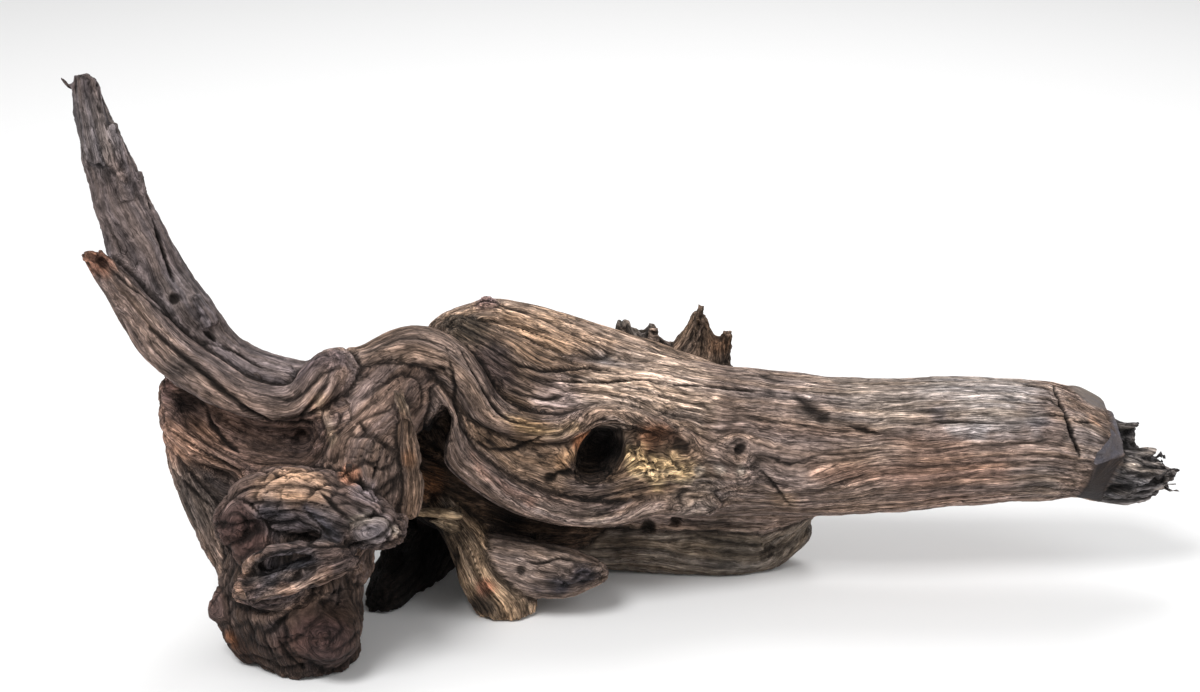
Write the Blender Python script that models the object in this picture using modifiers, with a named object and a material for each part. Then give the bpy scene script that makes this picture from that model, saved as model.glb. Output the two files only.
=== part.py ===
"""A piece of driftwood: a weathered trunk and root clump that grew as one piece of wood.

+X runs along the trunk to its sawn end, -Y is the front and +Z is up. The origin is on the
ground, under the middle of the piece's box.

Each limb is a loft along a smooth route. The limbs are fused by a voxel remesh, the knot
holes and the sawn end are cut, and the feet are worn flat where they stand.
"""

import math

import bmesh
import bpy
from mathutils import Euler, Matrix, Vector

MM = 0.001

# How the surface is made
VOXEL = 5 * MM
SMOOTHING_ROUNDS = 5
TRIANGLES = 9600
RING_SIDES = 16
STEPS_PER_SPAN = 4
END_RINGS_DEG = (35, 65, 82)
HOLLOW_SIDES = 24
HOLLOW_RINGS = 16
LEAST_LEAN = 0.3

# The middle of the piece's box in the limbs' own plan, and the level of the worn feet
MIDDLE = (22.4 * MM, -11.6 * MM)
FOOT_LEVEL = 0 * MM
FOOT_CUTTER = (2000 * MM, 2000 * MM, 120 * MM)

WOOD_COLOUR = (0.150, 0.103, 0.078, 1.0)

# Where each limb runs, in mm: x, y, z, half its width across the front, half its thickness
LIMBS = {
    "horn": [
        (-415, 15, 435, 11, 8),
        (-410, 10, 410, 16, 10),
        (-400, 10, 370, 20, 13),
        (-385, 0, 330, 25, 16),
        (-370, -5, 290, 28, 18),
        (-345, -10, 250, 28, 20),
        (-310, -20, 210, 25, 24),
        (-250, -25, 190, 24, 30),
    ],
    "strand": [
        (-415, -30, 310, 5, 7),
        (-405, -30, 300, 9, 10),
        (-380, -40, 270, 15, 14),
        (-355, -45, 235, 18, 18),
        (-320, -50, 210, 18, 20),
        (-285, -55, 195, 16, 22),
        (-250, -50, 190, 18, 24),
        (-225, -45, 215, 19, 26),
    ],
    "rim": [
        (-355, -25, 200, 10, 14),
        (-350, -35, 160, 14, 18),
        (-335, -45, 125, 18, 24),
        (-310, -65, 85, 23, 30),
        (-300, -80, 70, 21, 28),
    ],
    "bowl": [
        (-340, -20, 195, 27, 18),
        (-310, -25, 160, 45, 22),
        (-285, -40, 135, 51, 28),
        (-260, -60, 105, 48, 34),
    ],
    "bowl_ridge": [
        (-355, -50, 170, 6, 8),
        (-315, -60, 150, 9, 9),
        (-270, -75, 140, 9, 10),
        (-240, -95, 125, 7, 8),
    ],
    "burl": [
        (-255, -85, 110, 45, 46),
        (-255, -100, 75, 52, 54),
        (-250, -105, 40, 53, 58),
        (-240, -110, 0, 41, 46),
    ],
    "burl_left": [
        (-285, -110, 70, 25, 30),
        (-290, -110, 30, 24, 30),
        (-280, -110, 10, 20, 26),
    ],
    "burl_nub": [
        (-305, -110, 50, 16, 20),
        (-315, -115, 40, 9, 12),
    ],
    "burl_knot": [
        (-230, -120, 35, 33, 36),
        (-220, -150, 35, 22, 24),
    ],
    "burl_brow": [
        (-295, -105, 115, 22, 28),
        (-275, -110, 135, 25, 28),
        (-240, -120, 140, 26, 30),
        (-200, -130, 130, 23, 26),
        (-175, -135, 120, 18, 22),
    ],
    "burl_lid": [
        (-285, -150, 90, 6, 8),
        (-270, -160, 110, 7, 10),
        (-240, -165, 120, 7, 10),
        (-210, -160, 115, 6, 8),
    ],
    "burl_fold": [
        (-290, -150, 75, 6, 9),
        (-250, -165, 85, 8, 11),
        (-215, -170, 100, 7, 10),
        (-195, -160, 105, 5, 8),
    ],
    "knee": [
        (-165, 5, 195, 26, 28),
        (-180, -30, 185, 33, 36),
        (-200, -55, 160, 39, 42),
        (-205, -80, 130, 39, 44),
        (-215, -90, 95, 36, 42),
        (-210, -95, 75, 22, 34),
    ],
    "flange": [
        (-175, -75, 215, 5, 6),
        (-165, -85, 200, 7, 8),
        (-160, -90, 175, 8, 9),
        (-155, -90, 145, 9, 10),
        (-160, -90, 115, 9, 12),
    ],
    "rope_upper": [
        (-190, -10, 215, 16, 22),
        (-160, -10, 225, 16, 24),
        (-135, -10, 215, 15, 24),
        (-115, -20, 195, 13, 22),
        (-100, -20, 170, 11, 18),
        (-70, -25, 160, 10, 14),
        (-40, -25, 160, 9, 12),
        (-10, -20, 170, 8, 12),
        (20, -20, 165, 7, 10),
        (60, -15, 145, 6, 8),
    ],
    "rope_lower": [
        (-150, -25, 190, 10, 14),
        (-140, -30, 170, 12, 18),
        (-130, -40, 145, 13, 20),
        (-110, -40, 125, 13, 20),
        (-80, -40, 105, 13, 18),
        (-40, -35, 90, 12, 16),
        (-5, -30, 85, 11, 14),
        (30, -20, 90, 11, 14),
        (75, -5, 85, 11, 16),
    ],
    "fold_bed": [
        (-140, -5, 195, 21, 22),
        (-120, -10, 155, 26, 24),
        (-80, -10, 125, 28, 26),
        (-20, -5, 120, 36, 30),
        (45, 0, 115, 34, 30),
        (100, 10, 115, 28, 26),
    ],
    "valley": [
        (-130, 35, 215, 21, 24),
        (-95, 25, 190, 31, 30),
        (-45, 20, 165, 33, 34),
        (20, 20, 155, 33, 34),
    ],
    "trunk": [
        (-140, 60, 145, 47, 40),
        (-80, 55, 140, 65, 54),
        (-5, 50, 130, 71, 62),
        (70, 50, 120, 67, 62),
        (135, 50, 115, 62, 58),
        (210, 45, 115, 58, 56),
        (285, 45, 120, 55, 54),
        (350, 45, 120, 51, 52),
        (385, 45, 115, 47, 46),
        (415, 45, 100, 37, 38),
    ],
    "crest": [
        (-150, 50, 215, 8, 15),
        (-130, 60, 220, 12, 22),
        (-105, 65, 225, 11, 26),
        (-70, 70, 215, 13, 30),
        (-20, 65, 200, 14, 32),
        (35, 60, 180, 17, 35),
        (100, 55, 160, 18, 35),
    ],
    "crest_tip": [
        (-105, 55, 235, 10, 12),
        (-110, 50, 245, 5, 6),
    ],
    "spur": [
        (-145, -20, 95, 11, 14),
        (-125, -25, 65, 17, 20),
        (-110, -30, 35, 22, 24),
        (-95, -30, 15, 28, 26),
        (-85, -30, -10, 25, 22),
    ],
    "spur_toe": [
        (-110, -25, 50, 16, 18),
        (-70, -30, 40, 23, 26),
        (-40, -30, 35, 22, 24),
        (-15, -30, 35, 12, 14),
    ],
    "peg": [
        (-135, -35, 80, 7, 8),
        (-160, -55, 95, 3, 4),
    ],
    "lobe": [
        (-30, 50, 30, 24, 28),
        (30, 60, 20, 27, 30),
        (90, 60, 15, 28, 32),
        (125, 65, 15, 24, 28),
        (155, 65, 30, 14, 20),
    ],
    "inner_wall": [
        (-175, -20, 120, 24, 25),
        (-140, 0, 90, 31, 24),
        (-95, 15, 65, 26, 24),
        (-40, 35, 50, 23, 26),
    ],
    "rear_root": [
        (-115, 85, 75, 43, 42),
        (-150, 70, 30, 34, 38),
        (-175, 35, 5, 27, 34),
        (-190, -20, 0, 20, 28),
    ],
    "back_root": [
        (-80, 110, 130, 43, 35),
        (-15, 125, 140, 34, 32),
        (65, 125, 145, 26, 26),
        (90, 125, 150, 14, 16),
    ],
    "knob_small": [
        (20, 120, 175, 12, 14),
        (10, 125, 190, 8, 9),
    ],
    "knob_mid": [
        (35, 120, 175, 10, 12),
        (30, 125, 190, 5, 7),
    ],
    "back_horn": [
        (65, 120, 160, 29, 24),
        (70, 125, 180, 19, 14),
        (70, 130, 200, 9, 8),
        (70, 130, 210, 3, 4),
    ],
    "back_horn_ear": [
        (85, 120, 165, 14, 14),
        (95, 125, 175, 8, 10),
    ],
    "knee_shoulder": [
        (-225, -20, 205, 21, 26),
        (-200, -15, 205, 19, 26),
        (-175, -10, 220, 18, 24),
    ],
    "lobe_web": [
        (-15, 50, 45, 17, 26),
        (55, 55, 45, 19, 28),
        (115, 55, 45, 19, 28),
        (155, 55, 50, 12, 22),
    ],
    "heart": [
        (-260, 10, 140, 45, 48),
        (-205, 30, 130, 51, 56),
        (-145, 45, 130, 50, 56),
        (-95, 55, 125, 50, 50),
    ],
    "rear_foot": [
        (-230, 45, 110, 37, 42),
        (-265, 80, 45, 29, 34),
        (-285, 100, 0, 23, 28),
        (-290, 110, -45, 19, 22),
    ],
    "eye_bed": [
        (-280, -135, 80, 11, 16),
        (-265, -140, 75, 11, 16),
    ],
    "rope_web": [
        (-145, -20, 190, 11, 14),
        (-135, -30, 175, 11, 14),
        (-125, -35, 155, 10, 12),
    ],
    "stub": [
        (400, 45, 95, 30, 34),
        (425, 40, 90, 27, 28),
        (450, 40, 90, 18, 18),
        (465, 40, 90, 7, 8),
    ],
    "stub_top": [
        (405, 55, 125, 13, 16),
        (430, 55, 125, 8, 9),
    ],
}

FRONT = Vector((0, -1, 0))

# Hollows: middle, reach along the bore, half width, half height in mm, then the way the bore
# runs in and its turn about that way in degrees
HOLLOWS = {
    "knothole": ((-34, -22, 138), (42, 18, 26), (-0.25, 1.0, -0.25), 35),
    "knee_slot": ((-166, -45, 158), (40, 9, 30), (0.1, 1.0, 0.0), 14),
}

# Saw and axe cuts at the trunk's end: a point on each in mm, and the way it faces
SAW_CUTS = (
    ((352, 45, 172), (0.45, -0.20, 0.87)),
    ((392, 0, 95), (0.86, -0.42, -0.28)),
    ((412, 45, 110), (1.0, 0.05, 0.10)),
)


def clear_scene():
    for thing in list(bpy.data.objects):
        bpy.data.objects.remove(thing)


def smooth_rows(rows):
    """The limb's rows with more between them, on a Catmull-Rom curve through all of them."""
    points = [Vector([number * MM for number in row]) for row in rows]
    ends = [points[0] * 2 - points[1], *points, points[-1] * 2 - points[-2]]
    fine = []
    for before, start, stop, after in zip(ends, ends[1:], ends[2:], ends[3:]):
        for step in range(STEPS_PER_SPAN):
            t = step / STEPS_PER_SPAN
            fine.append(
                0.5 * ((start * 2) + (stop - before) * t
                       + (before * 2 - start * 5 + stop * 4 - after) * t ** 2
                       + (start * 3 - before - stop * 3 + after) * t ** 3)
            )
    fine.append(points[-1])
    return fine


def ring_matrix(place, along, half_width, half_thickness):
    """Lays a unit circle across the route, with its broad side to the front."""
    front = FRONT - along * FRONT.dot(along)
    if front.length < LEAST_LEAN:
        front = Vector((1, 0, 0)).cross(along)
    front.normalize()
    across = along.cross(front)
    turned = Matrix((across * half_width, front * half_thickness, along)).transposed()
    return Matrix.Translation(place) @ turned.to_4x4()


def saw_end(shell):
    """Saws the trunk's end off along each cut and closes it with a flat face."""
    for point, faces_way in SAW_CUTS:
        bmesh.ops.bisect_plane(
            shell,
            geom=shell.verts[:] + shell.edges[:] + shell.faces[:],
            plane_co=Vector(point) * MM,
            plane_no=Vector(faces_way),
            clear_outer=True,
        )
        open_edges = [edge for edge in shell.edges if edge.is_boundary]
        bmesh.ops.holes_fill(shell, edges=open_edges, sides=0)


def loft_limb(name, rows):
    """A closed tube of oval rings along the limb's route, with rounded ends."""
    fine = smooth_rows(rows)
    places = [Vector(row[:3]) for row in fine]
    tangents = [
        (places[min(i + 1, len(places) - 1)] - places[max(i - 1, 0)]).normalized()
        for i in range(len(places))
    ]
    rings = [
        (place, along, row[3], row[4]) for place, along, row in zip(places, tangents, fine)
    ]
    for end, outward in ((0, -1), (-1, 1)):
        place, along, wide, thick = rings[end]
        cap = [
            (
                place + along * outward * min(wide, thick) * math.sin(math.radians(angle)),
                along,
                wide * math.cos(math.radians(angle)),
                thick * math.cos(math.radians(angle)),
            )
            for angle in END_RINGS_DEG
        ]
        rings = cap[::-1] + rings if end == 0 else rings + cap
    shell = bmesh.new()
    last_edges = None
    for place, along, wide, thick in rings:
        made = bmesh.ops.create_circle(
            shell, segments=RING_SIDES, radius=1, matrix=ring_matrix(place, along, wide, thick)
        )
        edges = list({edge for vert in made["verts"] for edge in vert.link_edges})
        if last_edges:
            bmesh.ops.bridge_loops(shell, edges=last_edges + edges)
        last_edges = edges
    bmesh.ops.holes_fill(shell, edges=shell.edges[:], sides=RING_SIDES)
    if name == "trunk":
        saw_end(shell)
    bmesh.ops.recalc_face_normals(shell, faces=shell.faces[:])
    mesh = bpy.data.meshes.new(name)
    shell.to_mesh(mesh)
    shell.free()
    return mesh


def all_limbs():
    """Every limb in one mesh, still as separate overlapping tubes."""
    joined = bmesh.new()
    for name, rows in LIMBS.items():
        limb = loft_limb(name, rows)
        joined.from_mesh(limb)
        bpy.data.meshes.remove(limb)
    mesh = bpy.data.meshes.new("driftwood")
    joined.to_mesh(mesh)
    joined.free()
    return mesh


def wood_material():
    material = bpy.data.materials.new("weathered_wood")
    material.use_nodes = True
    shader = material.node_tree.nodes["Principled BSDF"]
    shader.inputs["Base Color"].default_value = WOOD_COLOUR
    shader.inputs["Roughness"].default_value = 0.85
    shader.inputs["Metallic"].default_value = 0.0
    return material


def add_cutter(name, mesh, collection):
    cutter = bpy.data.objects.new(name, mesh)
    cutter.hide_render = True
    cutter.display_type = "WIRE"
    collection.objects.link(cutter)
    return cutter


def hollow_cutter(name):
    """A long egg that a knot rotted out of."""
    middle, halves, way, turn = HOLLOWS[name]
    aim = Vector(way).to_track_quat("Y", "Z") @ Euler((0, math.radians(turn), 0)).to_quaternion()
    reach, half_width, half_height = (half * MM for half in halves)
    egg = bmesh.new()
    bmesh.ops.create_uvsphere(
        egg,
        u_segments=HOLLOW_SIDES,
        v_segments=HOLLOW_RINGS,
        radius=1,
        matrix=Matrix.Translation(Vector(middle) * MM)
        @ aim.to_matrix().to_4x4()
        @ Matrix.Diagonal((half_width, reach, half_height, 1)),
    )
    mesh = bpy.data.meshes.new(name)
    egg.to_mesh(mesh)
    egg.free()
    return mesh


def foot_cutter():
    """A slab whose top is the level that the feet are worn down to."""
    slab = bmesh.new()
    bmesh.ops.create_cube(
        slab,
        size=1,
        matrix=Matrix.Translation((0, 0, FOOT_LEVEL - FOOT_CUTTER[2] / 2))
        @ Matrix.Diagonal((*FOOT_CUTTER, 1)),
    )
    mesh = bpy.data.meshes.new("foot_cutter")
    slab.to_mesh(mesh)
    slab.free()
    return mesh


def fuse(wood):
    remesh = wood.modifiers.new("fuse_limbs", "REMESH")
    remesh.mode = "VOXEL"
    remesh.voxel_size = VOXEL
    smooth = wood.modifiers.new("ease_joins", "SMOOTH")
    smooth.factor = 0.5
    smooth.iterations = SMOOTHING_ROUNDS


def thin_out(wood):
    """Keeps about TRIANGLES of the fused surface's triangles."""
    graph = bpy.context.evaluated_depsgraph_get()
    evaluated = wood.evaluated_get(graph)
    full = sum(len(face.vertices) - 2 for face in evaluated.data.polygons)
    thin = wood.modifiers.new("thin_out", "DECIMATE")
    thin.ratio = min(1.0, TRIANGLES / full)


def cut(wood, cutter):
    boolean = wood.modifiers.new(cutter.name, "BOOLEAN")
    boolean.operation = "DIFFERENCE"
    boolean.solver = "EXACT"
    boolean.object = cutter


def main():
    clear_scene()
    parts = bpy.data.collections.new("driftwood")
    cutters = bpy.data.collections.new("cutters")
    for collection in (parts, cutters):
        bpy.context.scene.collection.children.link(collection)
    wood = bpy.data.objects.new("driftwood", all_limbs())
    parts.objects.link(wood)
    wood.data.materials.append(wood_material())
    fuse(wood)
    for name in HOLLOWS:
        cut(wood, add_cutter(name, hollow_cutter(name), cutters))
    thin_out(wood)
    cut(wood, add_cutter("foot_level", foot_cutter(), cutters))
    wood.location = (-MIDDLE[0], -MIDDLE[1], 0)


main()
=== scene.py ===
# %% [markdown]
# # A piece of driftwood
# One root clump and trunk end that grew as a single piece, was sawn off at the right-hand end,
# and then lay in water and weather until the soft wood wore away. What is left is hard, dull,
# grey-brown and furrowed along its grain. The solid that is loaded here has the whole shape, but
# its surface is smooth. The lesson is how to lay grain, seams, cracks and colour on that shape.

import math
import random

import bmesh
import bpy
import numpy as np
from mathutils import Matrix, Vector, noise
from mathutils.bvhtree import BVHTree
from mathutils.kdtree import KDTree


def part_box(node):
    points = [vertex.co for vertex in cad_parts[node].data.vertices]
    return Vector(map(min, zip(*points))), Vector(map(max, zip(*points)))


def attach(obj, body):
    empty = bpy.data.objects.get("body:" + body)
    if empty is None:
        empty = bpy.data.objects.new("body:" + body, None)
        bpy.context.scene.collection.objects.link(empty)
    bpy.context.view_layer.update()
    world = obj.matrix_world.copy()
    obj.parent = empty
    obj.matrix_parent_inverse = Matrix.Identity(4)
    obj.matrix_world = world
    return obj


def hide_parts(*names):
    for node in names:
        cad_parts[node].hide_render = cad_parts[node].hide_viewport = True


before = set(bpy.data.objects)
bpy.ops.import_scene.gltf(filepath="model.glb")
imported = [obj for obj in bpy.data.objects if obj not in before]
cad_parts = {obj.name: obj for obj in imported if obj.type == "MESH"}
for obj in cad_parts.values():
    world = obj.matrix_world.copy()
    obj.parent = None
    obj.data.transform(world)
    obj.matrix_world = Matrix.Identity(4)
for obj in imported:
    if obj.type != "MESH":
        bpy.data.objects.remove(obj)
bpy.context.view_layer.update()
MM = 0.001
random.seed(7)
low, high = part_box("driftwood")
print("the solid is", [round((b - a) / MM) for a, b in zip(low, high)], "mm")

# %% [markdown]
# ## A skin fine enough to carve
# A sculptor would start by covering the block in an even mesh. The Remesh modifier does that: it
# wraps the solid in squares of one size. The solid's flat facets are 10 mm wide, so the first
# wrap is smoothed to lose them before anything finer is added. A copy is used, since the solid
# itself is never changed, and its loose triangles are merged first.

# %% Two helpers, and the smooth body
SMOOTH_VOXEL = 3 * MM
SMOOTH_ROUNDS = 7
SKIN_VOXEL = 1.8 * MM


def settle(thing):
    """Replaces the thing's mesh with what its modifiers make of it."""
    graph = bpy.context.evaluated_depsgraph_get()
    made = bpy.data.meshes.new_from_object(thing.evaluated_get(graph))
    thing.modifiers.clear()
    thing.data = made
    return made


def wrap(thing, voxel, rounds):
    """Covers the thing in an even skin of squares, and smooths it."""
    remesh = thing.modifiers.new("wrap", "REMESH")
    remesh.mode = "VOXEL"
    remesh.voxel_size = voxel
    if rounds:
        smooth = thing.modifiers.new("ease", "SMOOTH")
        smooth.factor = 0.5
        smooth.iterations = rounds
    return settle(thing)


body = bmesh.new()
body.from_mesh(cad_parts["driftwood"].data)
bmesh.ops.remove_doubles(body, verts=body.verts[:], dist=0.01 * MM)
mesh = bpy.data.meshes.new("driftwood_skin")
body.to_mesh(mesh)
body.free()
wood = bpy.data.objects.new("driftwood_skin", mesh)
bpy.context.scene.collection.objects.link(wood)
wrap(wood, SMOOTH_VOXEL, SMOOTH_ROUNDS)
print("the smooth body has", len(wood.data.polygons), "faces")

# %% [markdown]
# ## Splinters
# Where wood breaks it leaves splinters: long thin wedges that follow the grain. Each one here is
# a cone, pressed a little flat and laid from its root to its tip. They are joined to the body
# before the fine skin is wrapped round both, so that each grows out of the wood with no seam.

# %% Where the splinters are
TUFTS = (
    # middle and spread of a patch of freshly torn fibres, in mm
    ((-4, -16, 134), 5), ((6, -18, 129), 6), ((16, -18, 126), 6), ((27, -17, 123), 5),
    ((10, -20, 121), 6), ((-227, -104, 158), 4),
)
LOOSE_SPLINTERS = (
    # root, tip, half width, in mm
    ((-438, 22, 420), (-454, 22, 438), 5.0),
    ((-432, 19, 372), (-441, 20, 440), 13.0),
    ((-425, 17, 372), (-434, 19, 442), 13.0),
    ((-416, 14, 370), (-428, 18, 438), 13.0),
    ((-402, 10, 345), (-414, 14, 403), 14.0),
    ((-386, 5, 304), (-396, 11, 365), 9.0),
    ((-366, -2, 264), (-376, 0, 294), 8.0),
    ((-342, -16, 248), (-353, -12, 271), 10.0),
    ((-414, -26, 280), (-436, -27, 311), 13.0),
    ((-404, -22, 284), (-424, -24, 312), 9.0),
    ((-396, -38, 262), (-413, -42, 272), 6.5),
    ((-380, -40, 236), (-392, -40, 250), 5.0),
    ((-366, -36, 205), (-387, -37, 228), 4.5),
    ((-186, -72, 205), (-190, -74, 219), 3.6),
    ((-181, -80, 190), (-192, -86, 204), 3.0),
    ((380, 62, 126), (416, 62, 133), 11.0),
    ((384, 50, 114), (428, 50, 112), 10.0),
    ((-148, -28, 92), (-188, -50, 102), 9.0),
    ((-304, -144, 80), (-222, -143, 112), 20.0),
    ((-240, -147, 108), (-300, -147, 92), 14.0),
    ((-12, 130, 158), (-17, 130, 199), 25.0),
    ((6, 129, 156), (9, 129, 196), 23.0),
    ((46, 130, 168), (49, 130, 212), 14.0),
    ((66, 130, 160), (72, 130, 190), 18.0),
    ((-192, 26, 62), (-226, 26, 8), 17.0),
    ((-66, -29, 38), (-35, -31, 44), 19.0),
)
print(len(LOOSE_SPLINTERS), "loose splinters and", len(TUFTS), "tufts")

# %% [markdown]
# The cones' tips are cut off, since wood never ends in a needle. The stub's splinters stand in an
# oval round its middle, and each is a little longer or shorter than the next.

# %% Add the splinters, and wrap the fine skin round everything
STUB_SPLINTERS = 34
STUB_MIDDLE_Y, STUB_MIDDLE_Z = 52, 95
STUB_ROOT_X = 392
TUFT_SPLINTERS = 46
SPLINTER_SIDES = 7
TIP_SHARE = 0.4
FLATTENED = 0.65


def add_splinter(shape, root, tip, half_width):
    """A flattened cone from root to tip, with its narrow end at the tip."""
    root, tip = Vector(root) * MM, Vector(tip) * MM
    lean = (tip - root).to_track_quat("Z", "Y").to_matrix().to_4x4()
    place = Matrix.Translation((root + tip) / 2) @ lean @ Matrix.Diagonal((1, FLATTENED, 1, 1))
    bmesh.ops.create_cone(
        shape, cap_ends=True, segments=SPLINTER_SIDES, radius1=half_width * MM,
        radius2=half_width * TIP_SHARE * MM, depth=(tip - root).length, matrix=place,
    )


shape = bmesh.new()
shape.from_mesh(wood.data)
for root, tip, half_width in LOOSE_SPLINTERS:
    add_splinter(shape, root, tip, half_width)
for number in range(STUB_SPLINTERS):
    turn = math.tau * number / STUB_SPLINTERS
    out = random.uniform(0.45, 0.95)
    y = 26 * out * math.cos(turn)
    z = 22 * out * math.sin(turn)
    reach = random.uniform(426, 456) - 12 * abs(math.sin(turn))
    add_splinter(shape, (STUB_ROOT_X, STUB_MIDDLE_Y + y, STUB_MIDDLE_Z + z),
                 (reach, STUB_MIDDLE_Y + y * 0.85, STUB_MIDDLE_Z + z * 0.85),
                 random.uniform(3.4, 5.6))
for number in range(TUFT_SPLINTERS):
    (x, y, z), radius = TUFTS[number % len(TUFTS)]
    root = (x + random.uniform(-radius, radius), y + 5, z + random.uniform(-radius, radius))
    tip = (root[0] + random.uniform(-12, 4), root[1] - random.uniform(7, 11),
           root[2] + random.uniform(-2, 12))
    add_splinter(shape, root, tip, random.uniform(2.2, 3.6))
shape.to_mesh(wood.data)
shape.free()
skin = wrap(wood, SKIN_VOXEL, 2)
print("the fine skin has", len(skin.polygons), "faces")

# %% [markdown]
# ## Where the grain runs
# Wood fibres run along each limb, so a pattern that follows the grain needs to know, at each
# spot, which limb it is on, how far along, and where across. Each limb is a route of points with
# its half width and half thickness there: the same routes that the solid was lofted along. The
# solid sits in the frame with the middle of its box at the origin, hence the shift.

# %% The limbs' routes, in mm: x, y, z, half width, half thickness
ROUTE_SHIFT = (-22.4, 11.6, 0.0)
ROUTES = {
    "horn": ((-415, 15, 435, 12, 8), (-405, 10, 370, 20, 13), (-390, 0, 330, 26, 16),
             (-350, -10, 250, 29, 20), (-310, -20, 210, 25, 24), (-250, -25, 190, 24, 30)),
    "strand": ((-415, -30, 310, 5, 7), (-405, -30, 300, 9, 10), (-380, -40, 270, 15, 14),
               (-355, -45, 235, 18, 18), (-320, -50, 210, 18, 20), (-285, -55, 195, 16, 22),
               (-250, -50, 190, 18, 24), (-225, -45, 215, 19, 26)),
    "rim": ((-360, -25, 200, 11, 14), (-355, -35, 160, 15, 18), (-340, -45, 125, 19, 24),
            (-315, -65, 85, 25, 30), (-305, -80, 70, 21, 28)),
    "bowl": ((-375, -25, 185, 30, 26), (-330, -35, 160, 42, 30), (-290, -50, 142, 46, 34),
             (-245, -60, 142, 46, 34), (-205, -60, 160, 40, 34)),
    "burl": ((-255, -85, 110, 47, 46), (-255, -100, 75, 53, 54), (-250, -105, 40, 53, 58),
             (-245, -110, 5, 39, 46)),
    "burl_brow": ((-295, -105, 115, 22, 28), (-275, -110, 135, 25, 28), (-240, -120, 140, 26, 30),
                  (-200, -130, 130, 23, 26), (-175, -135, 120, 18, 22)),
    "burl_fold": ((-300, -145, 66, 8, 12), (-250, -160, 76, 14, 16), (-215, -165, 94, 14, 16),
                  (-190, -155, 106, 9, 12)),
    "knee": ((-165, 5, 195, 26, 28), (-180, -30, 185, 33, 36), (-200, -55, 160, 39, 42),
             (-205, -80, 130, 39, 44), (-215, -90, 95, 36, 42), (-210, -95, 75, 22, 34)),
    "flange": ((-175, -75, 215, 5, 6), (-165, -85, 200, 7, 8), (-160, -90, 175, 8, 9),
               (-155, -90, 145, 9, 10), (-160, -90, 115, 9, 12)),
    "rope_upper": ((-190, -10, 215, 16, 22), (-160, -10, 225, 16, 24), (-135, -10, 215, 15, 24),
                   (-115, -20, 195, 13, 22), (-100, -20, 170, 11, 18), (-70, -25, 160, 10, 14),
                   (-40, -25, 160, 9, 12), (-10, -20, 170, 8, 12), (20, -20, 165, 7, 10),
                   (60, -15, 145, 6, 8)),
    "rope_lower": ((-150, -25, 190, 10, 14), (-140, -30, 170, 12, 18), (-130, -40, 145, 13, 20),
                   (-110, -40, 125, 13, 20), (-80, -40, 105, 13, 18), (-40, -35, 90, 12, 16),
                   (-5, -30, 85, 11, 14), (30, -20, 90, 11, 14), (75, -5, 85, 11, 16)),
    "fold_bed": ((-140, -5, 195, 21, 22), (-120, -10, 155, 26, 24), (-80, -10, 125, 28, 26),
                 (-20, -5, 120, 36, 30), (45, 0, 115, 34, 30)),
    "valley": ((-130, 35, 215, 21, 24), (-95, 25, 190, 31, 30), (-45, 20, 165, 33, 34),
               (20, 20, 155, 33, 34), (80, 25, 140, 30, 30)),
    "crest": ((-150, 50, 215, 8, 15), (-130, 60, 225, 12, 22), (-105, 65, 230, 11, 26),
              (-70, 70, 220, 13, 30), (-20, 65, 200, 15, 32), (35, 60, 180, 17, 35),
              (100, 55, 160, 18, 35)),
    "trunk": ((-80, 55, 140, 65, 54), (-5, 50, 130, 71, 62), (70, 50, 120, 67, 62),
              (135, 50, 115, 62, 58), (210, 45, 115, 58, 56), (285, 45, 120, 55, 54),
              (350, 45, 120, 51, 52), (415, 45, 105, 44, 44)),
    "stub": ((395, 45, 95, 32, 36), (425, 40, 90, 30, 32), (450, 40, 90, 24, 22),
             (470, 40, 90, 12, 12)),
    "spur": ((-145, -20, 95, 11, 14), (-125, -25, 65, 17, 20), (-110, -30, 35, 22, 24),
             (-95, -30, 15, 27, 26), (-90, -30, -10, 23, 22)),
    "spur_toe": ((-110, -25, 50, 16, 18), (-70, -30, 40, 23, 26), (-40, -30, 35, 22, 24),
                 (-15, -30, 35, 12, 14)),
    "peg": ((-125, -32, 75, 7, 8), (-160, -55, 95, 5, 5)),
    "lobe": ((-30, 50, 25, 24, 28), (30, 60, 20, 27, 30), (90, 60, 15, 29, 32),
             (130, 65, 10, 26, 28), (165, 60, 45, 20, 24)),
    "inner_wall": ((-175, -20, 120, 24, 25), (-140, 0, 90, 31, 24), (-95, 15, 65, 26, 24),
                   (-40, 35, 50, 23, 26)),
    "rear_root": ((-115, 85, 75, 43, 42), (-150, 70, 30, 34, 38), (-180, 40, 5, 27, 32),
                  (-200, 0, 0, 22, 28)),
    "rear_foot": ((-230, 45, 110, 37, 42), (-265, 80, 45, 29, 34), (-290, 110, -45, 19, 22)),
    "back_root": ((-80, 110, 130, 43, 35), (-15, 125, 140, 34, 32), (65, 125, 145, 26, 26),
                  (90, 125, 150, 14, 16)),
    "back_horn": ((65, 120, 150, 29, 24), (75, 125, 180, 15, 14), (75, 130, 210, 5, 5)),
    "knob_small": ((20, 120, 160, 12, 14), (10, 125, 190, 8, 9)),
}
print(len(ROUTES), "limbs carry the grain")

# %% [markdown]
# The nearest limb wins. Its route is a smooth curve, and each short piece of it carries three
# directions: along, across and to the front. A spot's place across is divided by the limb's
# width there, so the grain lines draw together where a limb narrows, as real fibres do. Where
# the ropes and folds run out on to the trunk, their grain turns into the trunk's bit by bit.

# %% A limb's route, and a spot's place in its grain
STEPS_PER_SPAN = 3
FRONT = np.array((0.0, -1.0, 0.0))


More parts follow.
